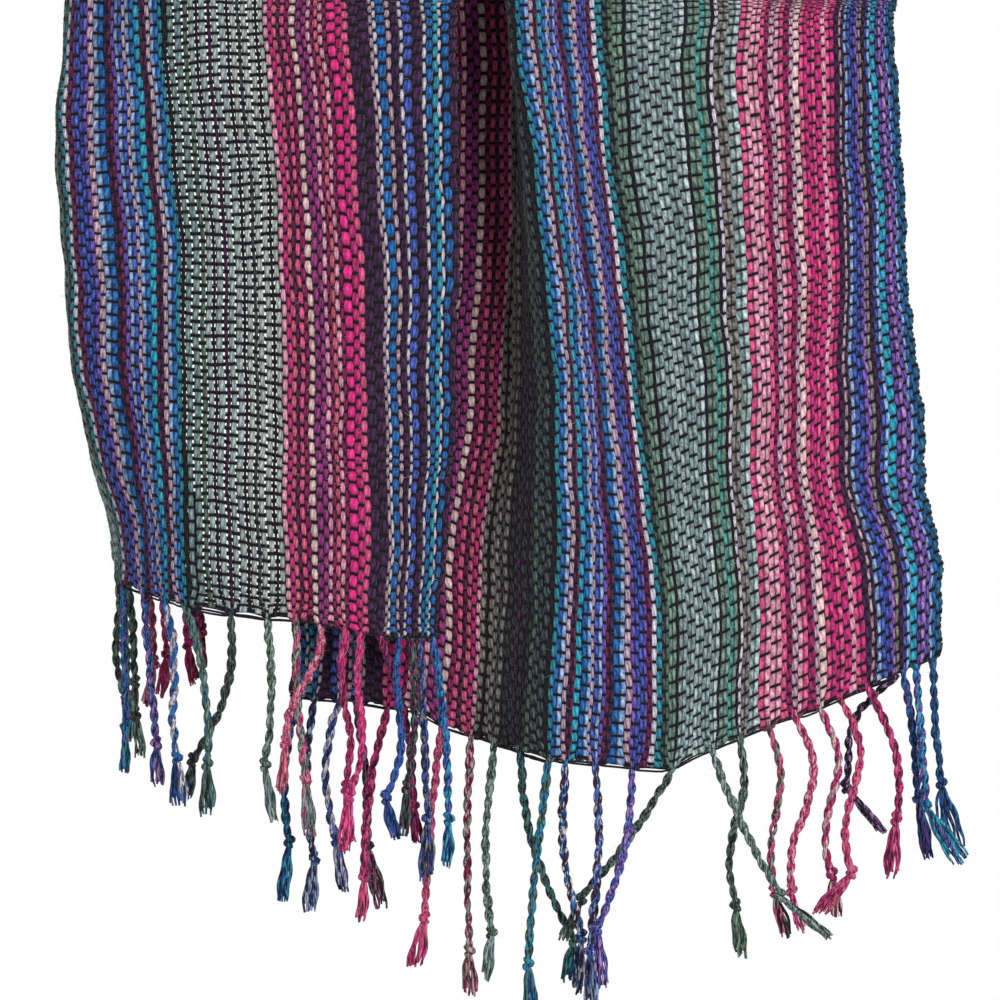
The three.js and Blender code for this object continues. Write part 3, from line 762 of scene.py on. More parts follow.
@dataclass(frozen=True)
class AlpacaYarn:
    """Loosely twisted two-ply alpaca, dyed in the hank: soft and matt, each ply a slanting ridge."""

    name: str = "alpaca yarn, two-ply, hank-dyed"
    roughness: float = 0.9
    sheen: float = 0.15
    ply_pitch: float = 7.5       # mm of yarn for one turn of a ply
    ridges: int = 4              # round the yarn, one for each of its sides
    fibre: float = 1.4           # mm, length of a bunch of fibres
    streak: float = 0.7          # bunches for each radian of a ridge's wave, coarse enough to show
    crown: float = 0.375         # the middle of the yarn's upper face, round it in the UV map
    ridge_dye: float = 0.85      # share of the lighter dye on a ridge, and what is left of 1 between ridges
    marl: float = 3.4            # how sharply lighter and darker fibres part
    marl_middle: float = 1.75
    furrow: tuple[float, float] = (0.012, 0.045)     # where the painted shade lies between two yarns side by side, in the UV map
    furrow_shade: float = 0.75   # how much darker the painted shade makes it there
    ply_relief: float = 0.4      # of the plies, beside that of the fibres
    relief: float = 0.35         # mm

    def build(self) -> bpy.types.Material:
        """The material, which reads the dyes with the painted shade stored in them, whether two yarns lie side
        by side, and the yarn's UV map, and paints shade in the furrow between two yarns side by side.

        Returns:
            The material.
        """
        rows: list[Row] = [
            *YARN_UV,
            ("turn", MATH, MULTIPLY, {0: "@split.Y", 1: TURN / self.ply_pitch}),
            ("around", MATH, MULTIPLY_ADD, {0: "@split.X", 1: self.ridges * TURN, 2: "@turn"}),
            ("ply", MATH, {"operation": "SINE"}, {0: "@around"}),
            ("fibres", "ShaderNodeCombineXYZ", {}, {0: "@around", 1: "@split.Y"}),
            ("stretched", MAPPING, POINT, {"Vector": "@fibres", "Scale": (self.streak, 1 / self.fibre, 1)}),
            ("noise", NOISE, {}, {"Vector": "@stretched", "Scale": 1.0, "Detail": 3.0, "Roughness": 0.65}),
            ("share", RANGE, {}, {"Value": "@ply", "From Min": -1.0, "From Max": 0.9,
                                  "To Min": 1 - self.ridge_dye, "To Max": self.ridge_dye}),
            ("marl", MATH, MULTIPLY_ADD, {0: "@noise.Fac", 1: self.marl, 2: -self.marl_middle}),
            ("mixed", MATH, {**ADD, "use_clamp": True}, {0: "@share", 1: "@marl"}),
            ("from_crown", MATH, {"operation": "SUBTRACT"}, {0: "@split.X", 1: self.crown}),
            ("outer", MATH, {"operation": "GREATER_THAN"}, {0: "@from_crown", 1: 0.0}),
        ]
        for yarn in ("", "_outer"):
            rows += [(ply + yarn, ATTRIBUTE, {"attribute_name": ply + yarn}, {}) for ply in ("light", "dark")]
            rows.append(("dye" + yarn, MIX, RGBA,
                         {"Factor": "@mixed", 6: f"@dark{yarn}.Color", 7: f"@light{yarn}.Color"}))
        rows += [
            ("beside", MIX, RGBA, {"Factor": "@outer", 6: "@dye.2", 7: "@dye_outer.2"}),
            ("near", MATH, {"operation": "ABSOLUTE"}, {0: "@from_crown"}),
            ("furrow", RANGE, {}, {"Value": "@near", "From Min": self.furrow[0], "From Max": self.furrow[1],
                                   "To Min": 1.0, "To Max": 0.0}),
            ("pair", ATTRIBUTE, {"attribute_name": "pair"}, {}),
            ("parted", MATH, MULTIPLY, {0: "@furrow", 1: "@pair.Fac"}),
            # painted shade in the furrow where two yarns lie side by side
            ("shade", MATH, MULTIPLY_ADD, {0: "@parted", 1: -self.furrow_shade, 2: 1.0}),
            ("colour", VECTOR, SCALE, {0: "@beside.2", "Scale": "@shade"}),
            ("height", MATH, MULTIPLY_ADD, {0: "@ply", 1: self.ply_relief, 2: "@noise.Fac"}),
            ("bump", BUMP, {}, {"Strength": 0.7, "Distance": self.relief * MM, "Height": "@height"}),
        ]
        return new_material(self.name, self.roughness, self.sheen, rows,
                            {"Base Color": "@colour", "Normal": "@bump"})


@dataclass(frozen=True)
class CordYarn:
    """The same alpaca in the fringe: its plies show lighter flecks where another warp yarn surfaces."""

    name: str = "alpaca cord, hand-twisted"
    roughness: float = 0.9
    sheen: float = 0.15
    fleck_length: float = 4.2    # mm, along the strands, which hang
    fleck_width: float = 0.8     # mm
    fibre: float = 0.55          # mm across
    long_fibres: float = 0.2     # bunches of fibres for each mm of height
    lie: tuple[float, float, float] = (0.5, 0.4, 0.0)    # of the fibres, which slant as the plies turn
    deep: float = 0.45           # painted shade: what is left of the darker ply's colour down between the fibres
    cord_darkening: float = 0.85     # what is left of all colours: the cords are darkened all over
    relief: float = 0.4          # mm

    def build(self) -> bpy.types.Material:
        """The material, which reads the colours light, dark and fleck, and paints shade down between the
        fibres.

        Returns:
            The material.
        """
        place = {"Vector": "@place.Object"}
        rows: list[Row] = [
            ("place", "ShaderNodeTexCoord", {}, {}),
            *[(name, ATTRIBUTE, {"attribute_name": name}, {}) for name in ("light", "dark", "fleck")],
            ("streak", MAPPING, POINT, {
                **place, "Rotation": self.lie, "Scale": (1 / self.fibre, 1 / self.fibre, self.long_fibres)}),
            ("fine", NOISE, {}, {"Vector": "@streak", "Scale": 1 / MM, "Detail": 2.0}),
            ("hanging", MAPPING, POINT, {
                **place, "Scale": (1 / self.fleck_width, 1 / self.fleck_width, 1 / self.fleck_length)}),
            ("flecks", NOISE, {}, {"Vector": "@hanging", "Scale": 1 / MM, "Detail": 1.0}),
            ("share", RANGE, {}, {"Value": "@fine.Fac", "From Min": 0.45, "From Max": 0.6, "To Max": 0.95}),
            ("flecked", RANGE, {}, {"Value": "@flecks.Fac", "From Min": 0.56, "From Max": 0.64, "To Max": 0.8}),
            # painted shade: the darker ply, darker still down between the fibres
            ("shadow", VECTOR, SCALE, {0: "@dark.Color", "Scale": self.deep}),
            ("marled", MIX, RGBA, {"Factor": "@share", 6: "@shadow", 7: "@light.Color"}),
            ("mixed", MIX, RGBA, {"Factor": "@flecked", 6: "@marled.2", 7: "@fleck.Color"}),
            ("colour", VECTOR, SCALE, {0: "@mixed.2", "Scale": self.cord_darkening}),
            ("bump", BUMP, {}, {"Strength": 0.8, "Distance": self.relief * MM, "Height": "@fine.Fac"}),
        ]
        return new_material(self.name, self.roughness, self.sheen, rows,
                            {"Base Color": "@colour", "Normal": "@bump"})


@dataclass(frozen=True)
class ShellWeave:
    """The same plain weave drawn on the shell: warp floats over a dark weft, in threads and picks, with painted
    shade where the warp dips under a pick and at the sides of each yarn.
    """

    name: str = "plain weave, alpaca warp, dark weft"
    roughness: float = 0.9
    sheen: float = 0.15
    weft: str = "#15101a"
    dash: float = 0.72           # the weft shows where the cosine along a float is more than this
    dip: float = 0.45            # painted shade: how much darker a warp yarn is under a pick
    rib_shade: float = 0.75      # painted shade: how much darker it is at its sides
    fibres: tuple[float, float, float] = (4.0, 1.1, 1.0)     # bunches for each thread and each pick
    relief: float = 1.0          # mm

    def build(self) -> bpy.types.Material:
        """The material, whose UV map counts threads across and picks along.

        Returns:
            The material.
        """
        rows: list[Row] = list(YARN_UV)
        for axis, word, rise in (("X", "thread", "rib"), ("Y", "pick", "float")):
            rows += [
                (word, MATH, {"operation": "FLOOR"}, {0: f"@split.{axis}"}),
                (word + "_part", MATH, {"operation": "FRACT"}, {0: f"@split.{axis}"}),
                (word + "_off", MATH, {"operation": "SUBTRACT"}, {0: f"@{word}_part", 1: 0.5}),
                (word + "_turn", MATH, MULTIPLY, {0: f"@{word}_off", 1: math.pi}),
                (rise, MATH, {"operation": "COSINE"}, {0: f"@{word}_turn"}),
            ]
        weft = linear(self.weft)
        rows += [
            ("cell", MATH, ADD, {0: "@thread", 1: "@pick"}),
            ("counted", MATH, {"operation": "ABSOLUTE"}, {0: "@cell"}),
            ("under", MATH, {"operation": "MODULO"}, {0: "@counted", 1: 2.0}),
            ("middle", MATH, {"operation": "GREATER_THAN"}, {0: "@float", 1: self.dash}),
            ("dashed", MATH, MULTIPLY, {0: "@under", 1: "@middle"}),
            ("streak", MAPPING, POINT, {"Vector": "@uv", "Scale": self.fibres}),
            ("fine", NOISE, {}, {"Vector": "@streak", "Scale": 1.0}),
            ("share", RANGE, {}, {"Value": "@fine.Fac", "From Min": 0.35, "From Max": 0.65}),
            *[(name, ATTRIBUTE, {"attribute_name": name}, {}) for name in ("light", "dark")],
            ("yarn", MIX, RGBA, {"Factor": "@share", 6: "@dark.Color", 7: "@light.Color"}),
            # painted shade: darker under a pick and at the sides of each yarn, drawn towards the weft's colour
            ("dipped", MATH, MULTIPLY_ADD, {0: "@under", 1: -self.dip, 2: 1.0}),
            ("ribbed", MATH, MULTIPLY_ADD, {0: "@rib", 1: self.rib_shade, 2: 1 - self.rib_shade}),
            ("shade", MATH, MULTIPLY, {0: "@ribbed", 1: "@dipped"}),
            ("shaded", MIX, RGBA, {"Factor": "@shade", 6: weft, 7: "@yarn.2"}),
            ("colour", MIX, RGBA, {"Factor": "@dashed", 6: "@shaded.2", 7: weft}),
            ("lowered", MATH, MULTIPLY, {0: "@under", 1: -0.5}),
            ("height", MATH, MULTIPLY_ADD, {0: "@rib", 1: 0.7, 2: "@lowered"}),
            ("bump", BUMP, {}, {"Strength": 0.8, "Distance": self.relief * MM, "Height": "@height"}),
        ]
        return new_material(self.name, self.roughness, self.sheen, rows,
                            {"Base Color": "@colour.2", "Normal": "@bump"})


@dataclass(frozen=True)
class DarkWeft:
    """Fine worsted weft dyed almost black: it only shows as short dashes over the warp."""

    name: str = "worsted weft, black-dyed"
    roughness: float = 0.85
    sheen: float = 0.1
    colour: str = "#15101a"
    relief: float = 0.2          # mm

    def build(self) -> bpy.types.Material:
        """The material, with fibres that lie along the yarn's own UV map.

        Returns:
            The material.
        """
        rows: list[Row] = [
            *YARN_UV,
            ("fine", NOISE, {}, {"Vector": "@uv", "Scale": 3.0, "Detail": 2.0}),
            ("bump", BUMP, {}, {"Strength": 0.5, "Distance": self.relief * MM, "Height": "@fine.Fac"}),
        ]
        return new_material(self.name, self.roughness, self.sheen, rows,
                            {"Base Color": linear(self.colour), "Normal": "@bump"})


@dataclass(frozen=True)
class AlpacaHalo:
    """The long fine hairs that stand off alpaca: paler than the yarn, and seen against what lies behind."""

    name: str = "alpaca halo"
    roughness: float = 0.8
    sheen: float = 0.2
    pale: float = 0.3            # how much lighter than the yarn
    undyed: tuple[float, float, float, float] = (0.6, 0.6, 0.62, 1.0)

    def build(self) -> bpy.types.Material:
        """The material, which reads the yarn's dye at the root of each hair, with the painted shade that the
        warp carries there.

        Returns:
            The material.
        """
        rows: list[Row] = [
            ("dye", ATTRIBUTE, {"attribute_name": "light"}, {}),
            ("colour", MIX, RGBA, {"Factor": self.pale, 6: "@dye.Color", 7: self.undyed}),
        ]
        return new_material(self.name, self.roughness, self.sheen, rows, {"Base Color": "@colour.2"})


class ShapingTree:
    """Geometry Nodes that shape roots or paths, with an input for each size."""

    def __init__(self, name: str, sizes: dict[str, str], rows: Sequence[Row]) -> None:
        """Builds the tree.

        Args:
            name: of the tree.
            sizes: its inputs besides the geometry and the material, with the kind of each.
            rows: its nodes, each after those that feed it; the last one gives the shape.
        """
        self.tree = bpy.data.node_groups.new(name, "GeometryNodeTree")
        face = self.tree.interface
        face.new_socket("Geometry", in_out="INPUT", socket_type="NodeSocketGeometry")
        self.sockets = {key: face.new_socket(key, in_out="INPUT", socket_type=kind).identifier
                        for key, kind in {**sizes, "Material": "NodeSocketMaterial"}.items()}
        face.new_socket("Geometry", in_out="OUTPUT", socket_type="NodeSocketGeometry")
        for row in (("given", "NodeGroupInput", {}, {}), *rows,
                    ("real", "GeometryNodeRealizeInstances", {}, {0: "@" + rows[-1][0]}),
                    ("dressed", "GeometryNodeSetMaterial", {}, {0: "@real", "Material": "@given.Material"}),
                    ("result", "NodeGroupOutput", {}, {0: "@dressed"})):
            add_node(self.tree, *row)

    def shape(self, mesh: bpy.types.Mesh, name: str, settings: dict[str, Any]) -> bpy.types.Object:
        """Runs the nodes on a mesh and keeps the result as a plain mesh.

        Args:
            mesh: what the nodes start from.
            name: of the new object.
            settings: the tree's inputs by name.

        Returns:
            The object, with no modifier left on it.
        """
        source = bpy.data.objects.new(name + "_source", mesh)
        bpy.context.scene.collection.objects.link(source)
        modifier = source.modifiers.new("nodes", "NODES")
        modifier.node_group = self.tree
        for key, value in settings.items():
            modifier[self.sockets[key]] = value
        evaluated = source.evaluated_get(bpy.context.evaluated_depsgraph_get())
        made = bpy.data.meshes.new_from_object(evaluated)
        made.name = name
        bpy.data.objects.remove(source)
        piece = bpy.data.objects.new(name, made)
        bpy.context.scene.collection.objects.link(piece)
        return piece


# ---------------------------------------------------------------- the woven ends

@dataclass
class WovenEnd:
    """One hanging end of the scarf, woven yarn by yarn up to where the shell takes over."""

    side: Side
    surface: ClothSurface
    drape: Drape
    threading: Threading
    strands: list[tuple]
    picks: int                   # an even number
    dense_picks: int = 9         # beaten closer at the hem
    dense_pitch: float = 1.45
    first_pick: float = 0.6      # how far it lies above the hem
    crimp: float = 0.4           # how far a warp yarn rises over a pick
    crown: float = 0.12          # how much higher the middle of a float is
    warp_thick: float = 1.05
    uneven: float = 0.06         # of the warp yarns' width, as a share
    astray: float = 0.08         # of each warp yarn, sideways
    ring_astray: tuple[float, float] = (0.05, 0.1)       # of each of its rings, sideways and along
    seal: float = 0.22           # how far the warp yarns reach below their neighbours
    weft_crimp: float = 0.55
    weft_wide: float = 1.4
    weft_thick: float = 0.85
    weft_astray: float = 0.12    # of the weft, along the cloth
    weft_bend: float = 0.36      # it bends this share of a warp yarn's space off the yarn's middle
    turn_lean: float = 0.42      # of its turns at the selvedges towards the next pick, as a share of the pitch
    loop: float = 0.3            # how far the weft's turns stand out of the selvedges
    shade_under: float = 0.16    # painted shade: what is left of a warp yarn's colour where it dips under a pick
    shade_end: float = 0.8       # painted shade at the ends of its floats
    shade_tail: float = 0.3      # painted shade past the last pick
    shade_back: float = 1.2      # painted light on its feet under a pick, which face the back where it floats on the other face of the cloth: lighter than the dye
    hem_sags: tuple[float, float, float] = (0.4, 1.8, 1.1)      # of the weft's last turns between strands
    hem_uneven: float = 0.4      # of these sags
    hem_wide: float = 0.55       # of these turns, as a share of the other picks' width
    hem_start: float = 0.15      # how far past the hem they lie at a strand
    tail_rings: int = 3
    open_share: float = 0.8      # of its width that a yarn fills where the cloth is open
    closing: float = 20.0        # the open cloth grows dense over this length at its top
    tail: float = 1.6            # of the warp past the last pick, to where it is gathered in a strand
    gather: float = 9.0          # the threads begin to draw together this far above the hem
    draw: float = 0.1            # how far they draw together, as a share of the strands' spacing
    pull: float = 0.6            # how far the strands pull the hem down
    bunch: float = 3.2           # the yarns within this distance of a strand run down into it
    tail_close: float = 0.9      # how near they come to its middle, as a share of the way
    tail_layers: float = 0.4     # how far they lie over or under each other there
    tail_sunk: float = 1.0       # how far they run on inside it
    tail_narrow: float = 0.55    # how much narrower they are there
    tail_flat: float = 0.8       # and how thick, as a share
    strand_gap: float = 9.0      # the hem pulls and sags less between strands closer than this

    def __post_init__(self) -> None:
        """Places the picks."""
        sign = self.side.value
        self.spacing = np.full(self.picks, PITCH)
        self.spacing[:self.dense_picks] = np.linspace(self.dense_pitch, PITCH, self.dense_picks)
        self.up = np.cumsum(self.spacing) - self.spacing[0] + self.first_pick
        self.pick_s = self.surface.hem[self.side] - sign * self.up
        self.top = float(self.pick_s[-1])
        self.random = np.random.default_rng(WARP_SEED + sign)
        self.roots = np.array([row[0] for row in self.strands], float)

    def between(self, v: Array) -> tuple[Array, Array]:
        """Where places of the warp lie between the two strands beside them.

        Args:
            v: across the cloth.

        Returns:
            The share of the way from the strand before to the next, and the distance between the two.
        """
        ends = np.sort(np.concatenate(([-self.roots.min()], self.roots,
                                       [2 * self.surface.width - self.roots.max()])))
        i = np.clip(np.searchsorted(ends, v) - 1, 0, len(ends) - 2)
        gap = ends[i + 1] - ends[i]
        return (v - ends[i]) / gap, gap

    def placed(self, s: Array, v: Array, lift: Array) -> Array:
        """Points on the draped cloth, with the threads drawn towards the strands near the hem.

        Args:
            s: distance along the cloth from the nape.
            v: distance across it.
            lift: height off its middle surface.

        Returns:
            Points in millimetres.
        """
        sign = self.side.value
        s, v, lift = self.drape.shifted(*np.broadcast_arrays(s, v, lift), self.surface.width)
        above = (self.surface.hem[self.side] - s) * sign
        near = smooth(1 - above / self.gather) ** 2
        share, gap = self.between(v)
        drawn = self.draw * gap * np.sin(TURN * share)
        pull = self.pull * np.cos(TURN * share) * np.minimum(1, gap / self.strand_gap)
        return self.surface.point(s + sign * near * pull, v - near * drawn, lift)

    def _rings(self) -> tuple[Array, Array]:
        """Where the rings of the warp lie: three on each float and one under each pick between.

        Returns:
            Distance above the hem, and how high each ring rises, both of shape (threads, rings).
        """
        first = np.arange(0, self.picks, 2)
        ups, levels = [], []
        for number, band in enumerate(self.threading.bands):
            start = number % 2
            above, under = self.up[first + start], self.up[first + 1 - start]
            reach = FLOATS[band][0] * self.spacing[first + start]
            up = np.stack((above - reach, above, above + reach, under), axis=1)
            level = np.tile([1.0, 1.0 + self.crown / self.crimp, 1.0, -1.0], (len(first), 1))
            order = np.argsort(up.ravel())
            ups.append(up.ravel()[order])
            levels.append(level.ravel()[order])
        return np.stack(ups), np.stack(levels)

    def weave_warp(self) -> bpy.types.Object:
        """The warp yarns as closed four-sided tubes, gathered past the last pick.

        Returns:
            The object, with its dyes, the painted shade multiplied in, as attributes.
        """
        sign = self.side.value
        up, level = self._rings()
        shapes = np.array([FLOATS[band] for band in self.threading.bands])[:, :, None]
        thin = np.array([self.side is Side.LEFT and band == OPEN_BAND
                         for band in self.threading.bands])[:, None]
        opened = thin * smooth((self.up[-1] - up) / self.closing)
        loose = 1 - (1 - self.open_share) * opened
        wide = self.threading.gaps[:, None] * loose * (1 + self.uneven * self.random.standard_normal(up.shape))
        astray = self.astray * self.random.standard_normal((len(up), 1))
        sideways, lengthways = self.ring_astray
        v = self.threading.middles[:, None] + astray + sideways * self.random.standard_normal(up.shape)
        s = self.surface.hem[self.side] - sign * (up + lengthways * self.random.standard_normal(up.shape))
        crown = wide * np.where(level > 1, shapes[:, 2], shapes[:, 1])
        foot = 0.5 * wide + self.seal * (1 - opened)
        across = v[..., None] + np.stack((-foot, -crown, crown, foot), axis=-1)
        out = (level * self.crimp)[..., None] + self.warp_thick * WARP_SECTION[:, 1]
        body = self.placed(np.repeat(s[..., None], 4, axis=2), across, out)
        rings = np.concatenate((self._tails(wide[:, :1]), body), axis=1)
        tail_up = np.linspace(-self.tail, -0.5, self.tail_rings)
        length = np.concatenate((np.tile(tail_up, (len(up), 1)), up), axis=1)
        # Painted shade: full colour on a float's crown, less at its ends, least under a pick, and dark on the
        # tails past the last pick.
        shade = np.select([level > 1, level > 0], [1.0, self.shade_end], self.shade_under)
        shade = np.concatenate((np.full((len(up), self.tail_rings), self.shade_tail), shade), axis=1)
        piece = self._tube_object(f"{self.side.name.lower()}_warp", rings, length)
        self._paint(piece, shade, length)
        return piece

    def _tails(self, wide: Array) -> Array:
        """Rings of the warp past the last pick, from the strands up to the hem.

        Args:
            wide: of each thread.

        Returns:
            Corners of shape (threads, rings, corners, 3).
        """
        sign = self.side.value
        hem = self.surface.hem[self.side]
        t = np.linspace(1, 0.15, self.tail_rings)[None, :]
        middles = self.threading.middles
        share, gap = self.between(middles)
        away = (np.where(share < 0.5, share, share - 1) * gap)[:, None]
        gathered = smooth(t * 1.15) * np.exp(-(away / self.bunch) ** 2)
        centre = middles[:, None] - self.tail_close * away * gathered
        lift = self.tail_layers * np.sin(np.arange(len(middles)) * 2.4)[:, None] * gathered
        s = hem + sign * (self.tail + self.tail_sunk) * gathered * t
        across = centre[..., None] + (wide * (1 - self.tail_narrow * gathered))[..., None] * WARP_SECTION[:, 0]
        out = lift[..., None] + self.tail_flat * self.warp_thick * WARP_SECTION[:, 1]
        return self.surface.point(np.repeat(s[..., None], 4, axis=2), across, out)

    def weave_weft(self) -> bpy.types.Object:
        """The picks as closed three-sided tubes, whose ends meet in loops at the selvedges.

        Returns:
            The object.
        """
        middles, half = self.threading.middles, self.weft_bend * self.threading.gaps
        v = np.stack((middles - half, middles + half), axis=1).ravel()
        thread = np.arange(len(middles))[None, :]
        above = np.where((thread + np.arange(self.picks)[:, None]) % 2 == 0, -1.0, 1.0)
        level = np.repeat(above, 2, axis=1) * self.weft_crimp
        edge = np.full(2, self.loop)
        v = np.concatenate((-edge, v, self.surface.width + edge))
        level = np.pad(level, ((0, 0), (2, 2)))
        s = self.pick_s[:, None] + self.weft_astray * self.random.standard_normal(level.shape)
        turn = self.turn_lean * self.spacing * np.where(np.arange(self.picks) % 2 == 0, 1.0, -1.0)
        s[:, -1] += turn
        s[:, 0] -= turn
        s = np.concatenate((s, self._hem_turns(v)))
        hem_level = np.random.default_rng(HEM_SEED).uniform(-0.5, 0.5, (len(self.hem_sags), len(v)))
        level = np.concatenate((level, hem_level))
        wide = np.full((len(s), 1, 1), self.weft_wide)
        wide[self.picks:] *= self.hem_wide
        along = s[..., None] + wide * WEFT_SECTION[:, 0]
        out = level[..., None] + self.weft_thick * WEFT_SECTION[:, 1]
        rings = self.placed(along, np.broadcast_to(v[None, :, None], along.shape), out)
        return self._tube_object(f"{self.side.name.lower()}_weft", rings, np.tile(v, (len(s), 1)))

    def _hem_turns(self, v: Array) -> Array:
        """How far along the cloth the last turns of the weft lie, which sag from strand to strand.

        Args:
            v: across the cloth.

        Returns:
            Distance along the cloth, of shape (turns, places).
        """
        sign = self.side.value
        share, gap = self.between(v)
        hang = np.sin(math.pi * share) * np.minimum(1, gap / self.strand_gap)
        sags = np.array(self.hem_sags)[:, None]
        uneven = self.hem_uneven * np.sin(gap * 2.3 + np.arange(len(sags))[:, None] * 1.9)
        return self.surface.hem[self.side] + sign * (self.hem_start + (sags + uneven) * hang)

    @staticmethod
    def _tube_object(name: str, rings: Array, length: Array) -> bpy.types.Object:
        """Makes tubes a mesh object with the yarn's UV map.

        Args:
            name: of the object.
            rings: corners of shape (tubes, rings, corners, 3).
            length: along the yarn at each ring, of shape (tubes, rings).

        Returns:
            The object.
        """
        tubes, count, sides = rings.shape[:3]
        quads, caps = quad_tubes(rings)
        points = rings.reshape(-1, 3)
        length = length + np.arange(tubes)[:, None] * UV_STAGGER
        shape = (tubes, count - 1, sides)
        low = np.broadcast_to(length[:, :-1, None], shape)
        high = np.broadcast_to(length[:, 1:, None], shape)
        left = np.broadcast_to(np.arange(sides) / sides, shape)
        right = left + 1 / sides
        uv = np.stack((np.stack((left, low), -1), np.stack((right, low), -1),
                       np.stack((right, high), -1), np.stack((left, high), -1)), axis=3).reshape(-1, 4, 2)
        if enclosed_volume(points, quads) < 0:
            quads, caps, uv = quads[:, ::-1], caps[:, ::-1], uv[:, ::-1]
        loop_uv = np.concatenate((uv.reshape(-1, 2), np.zeros((caps.size, 2))))
        return mesh_object(name, points, [quads, caps], loop_uv)

    def _paint(self, piece: bpy.types.Object, shade: Array, length: Array) -> None:
        """Stores the dyes of the warp, which drift along each yarn, with the painted shade multiplied in.

        Args:
            piece: the warp.
            shade: the painted shade, how much of the colour shows at each ring, of shape (threads, rings).
            length: along the yarn at each ring, of the same shape.
        """
        shade_and_drift = shade.copy()
        phase = self.random.uniform(0, TURN, (len(shade), len(DRIFTS)))
        for k, (wave, depth) in enumerate(DRIFTS):
            shade_and_drift *= 1 + depth * np.sin(TURN * length / wave + phase[:, k:k + 1])
        # Painted shade on the feet, where the neighbours crowd in; under a pick the feet face the back and are
        # painted lighter than the dye.
        sides = np.array([FLOATS[band][3] for band in self.threading.bands])[:, None]
        feet = np.where(np.isclose(shade, self.shade_under), self.shade_back, shade * sides) / shade
        edge = np.stack((feet, np.ones_like(feet), np.ones_like(feet), feet), axis=-1)
        for which, suffix in enumerate(("", "_outer")):
            for ply in ("light", "dark"):
                base = self.threading.dyes(self.side, which, ply)
                colours = base[:, None, None, :] * (shade_and_drift[:, :, None] * edge)[..., None]
                store(piece.data, ply + suffix, "FLOAT_COLOR", colours.reshape(-1, 3))
        pairs = np.repeat(self.threading.pairs, shade.shape[1] * edge.shape[-1])
        store(piece.data, "pair", "FLOAT", pairs)


# ---------------------------------------------------------------- the rest of the cloth

@dataclass
class ClothShell:
    """The cloth over the shoulders and behind the neck: a thin wall, woven by its material."""

    surface: ClothSurface
    threading: Threading
    left_top: float              # where the woven left end stops
    right_top: float
    row_length: float = 8.0
    half: float = 0.95           # half of its thickness
    dye_change: float = 300.0    # length over which the dyes go from the left end's to the right end's, the right end's painted shade with them
    overlap: float = 1.2         # with each woven end

    def build(self) -> bpy.types.Object:
        """The shell as one closed mesh, with the threads' colours and a UV map in threads and picks.

        Returns:
            The object.
        """
        v = np.concatenate(([0.0], np.cumsum(self.threading.gaps)))
        start, stop = self.left_top - self.overlap, self.right_top + self.overlap
        rows = int(round((stop - start) / self.row_length))
        s = np.linspace(start, stop, rows + 1)
        grid_s, grid_v = np.meshgrid(s, v, indexing="ij")
        front = self.surface.point(grid_s, grid_v, np.full(grid_s.shape, self.half))
        back = self.surface.point(grid_s, grid_v, np.full(grid_s.shape, -self.half))
        stride = len(v)
        a = (np.arange(rows)[:, None] * stride + np.arange(stride - 1)[None, :])
        face = np.stack((a, a + stride, a + stride + 1, a + 1), axis=-1).reshape(-1, 4)
        count = front.shape[0] * stride
        rim = np.concatenate((np.arange(stride), np.arange(1, rows + 1) * stride + stride - 1,
                              rows * stride + np.arange(stride - 2, -1, -1),
                              np.arange(rows - 1, 0, -1) * stride))
        after = np.roll(rim, -1)
        wall = np.stack((rim, after, after + count, rim + count), axis=-1)
        points = np.concatenate((front.reshape(-1, 3), back.reshape(-1, 3)))
        quads = np.concatenate((face, face[:, ::-1] + count, wall))
        if enclosed_volume(points, quads) < 0:
            quads = quads[:, ::-1]
        thread = np.concatenate([np.arange(stride)] * (rows + 1) * 2).astype(float)
        pick = np.tile(np.repeat(s / PITCH, stride), 2)
        uv = np.stack((thread[quads.ravel()], pick[quads.ravel()]), axis=-1)
        piece = mesh_object("neck_cloth", points, [quads], uv)
        self._paint(piece, thread[quads], pick[quads].mean(axis=1))
        return piece

    def _paint(self, piece: bpy.types.Object, thread: Array, pick: Array) -> None:
        """Stores the dyes of the yarn that each face stands for, on its corners, with the right end's darker
        yarns, partly painted shade, blended in towards that end.

        Args:
            piece: the shell.
            thread: the number of the line between two yarns at each corner of each face.
            pick: where each face lies along the cloth.
        """
        number = np.minimum(thread.min(axis=1), len(self.threading.gaps) - 1).astype(int)
        right = smooth(pick * PITCH / self.dye_change + 0.5)[:, None]
        for ply in ("light", "dark"):
            left, other = ((self.threading.dyes(side, 0, ply) + self.threading.dyes(side, 1, ply))[number] / 2
                           for side in (Side.LEFT, Side.RIGHT))
            dyes = left * (1 - right) + other * right
            store(piece.data, ply, "FLOAT_COLOR", np.repeat(dyes, 4, axis=0), "CORNER")


# ---------------------------------------------------------------- the fringe

@dataclass(frozen=True)
class YarnPath:
    """The middle line of one yarn of the fringe, with what the twisting needs at each point."""

    points: Array                # in millimetres
    thick: Array                 # radius of the yarn
    swing: Array                 # how far the yarn lies from the middle line that it twists round
    phase: float                 # where round that line it starts, in radians
    yarn: str
    fleck: str


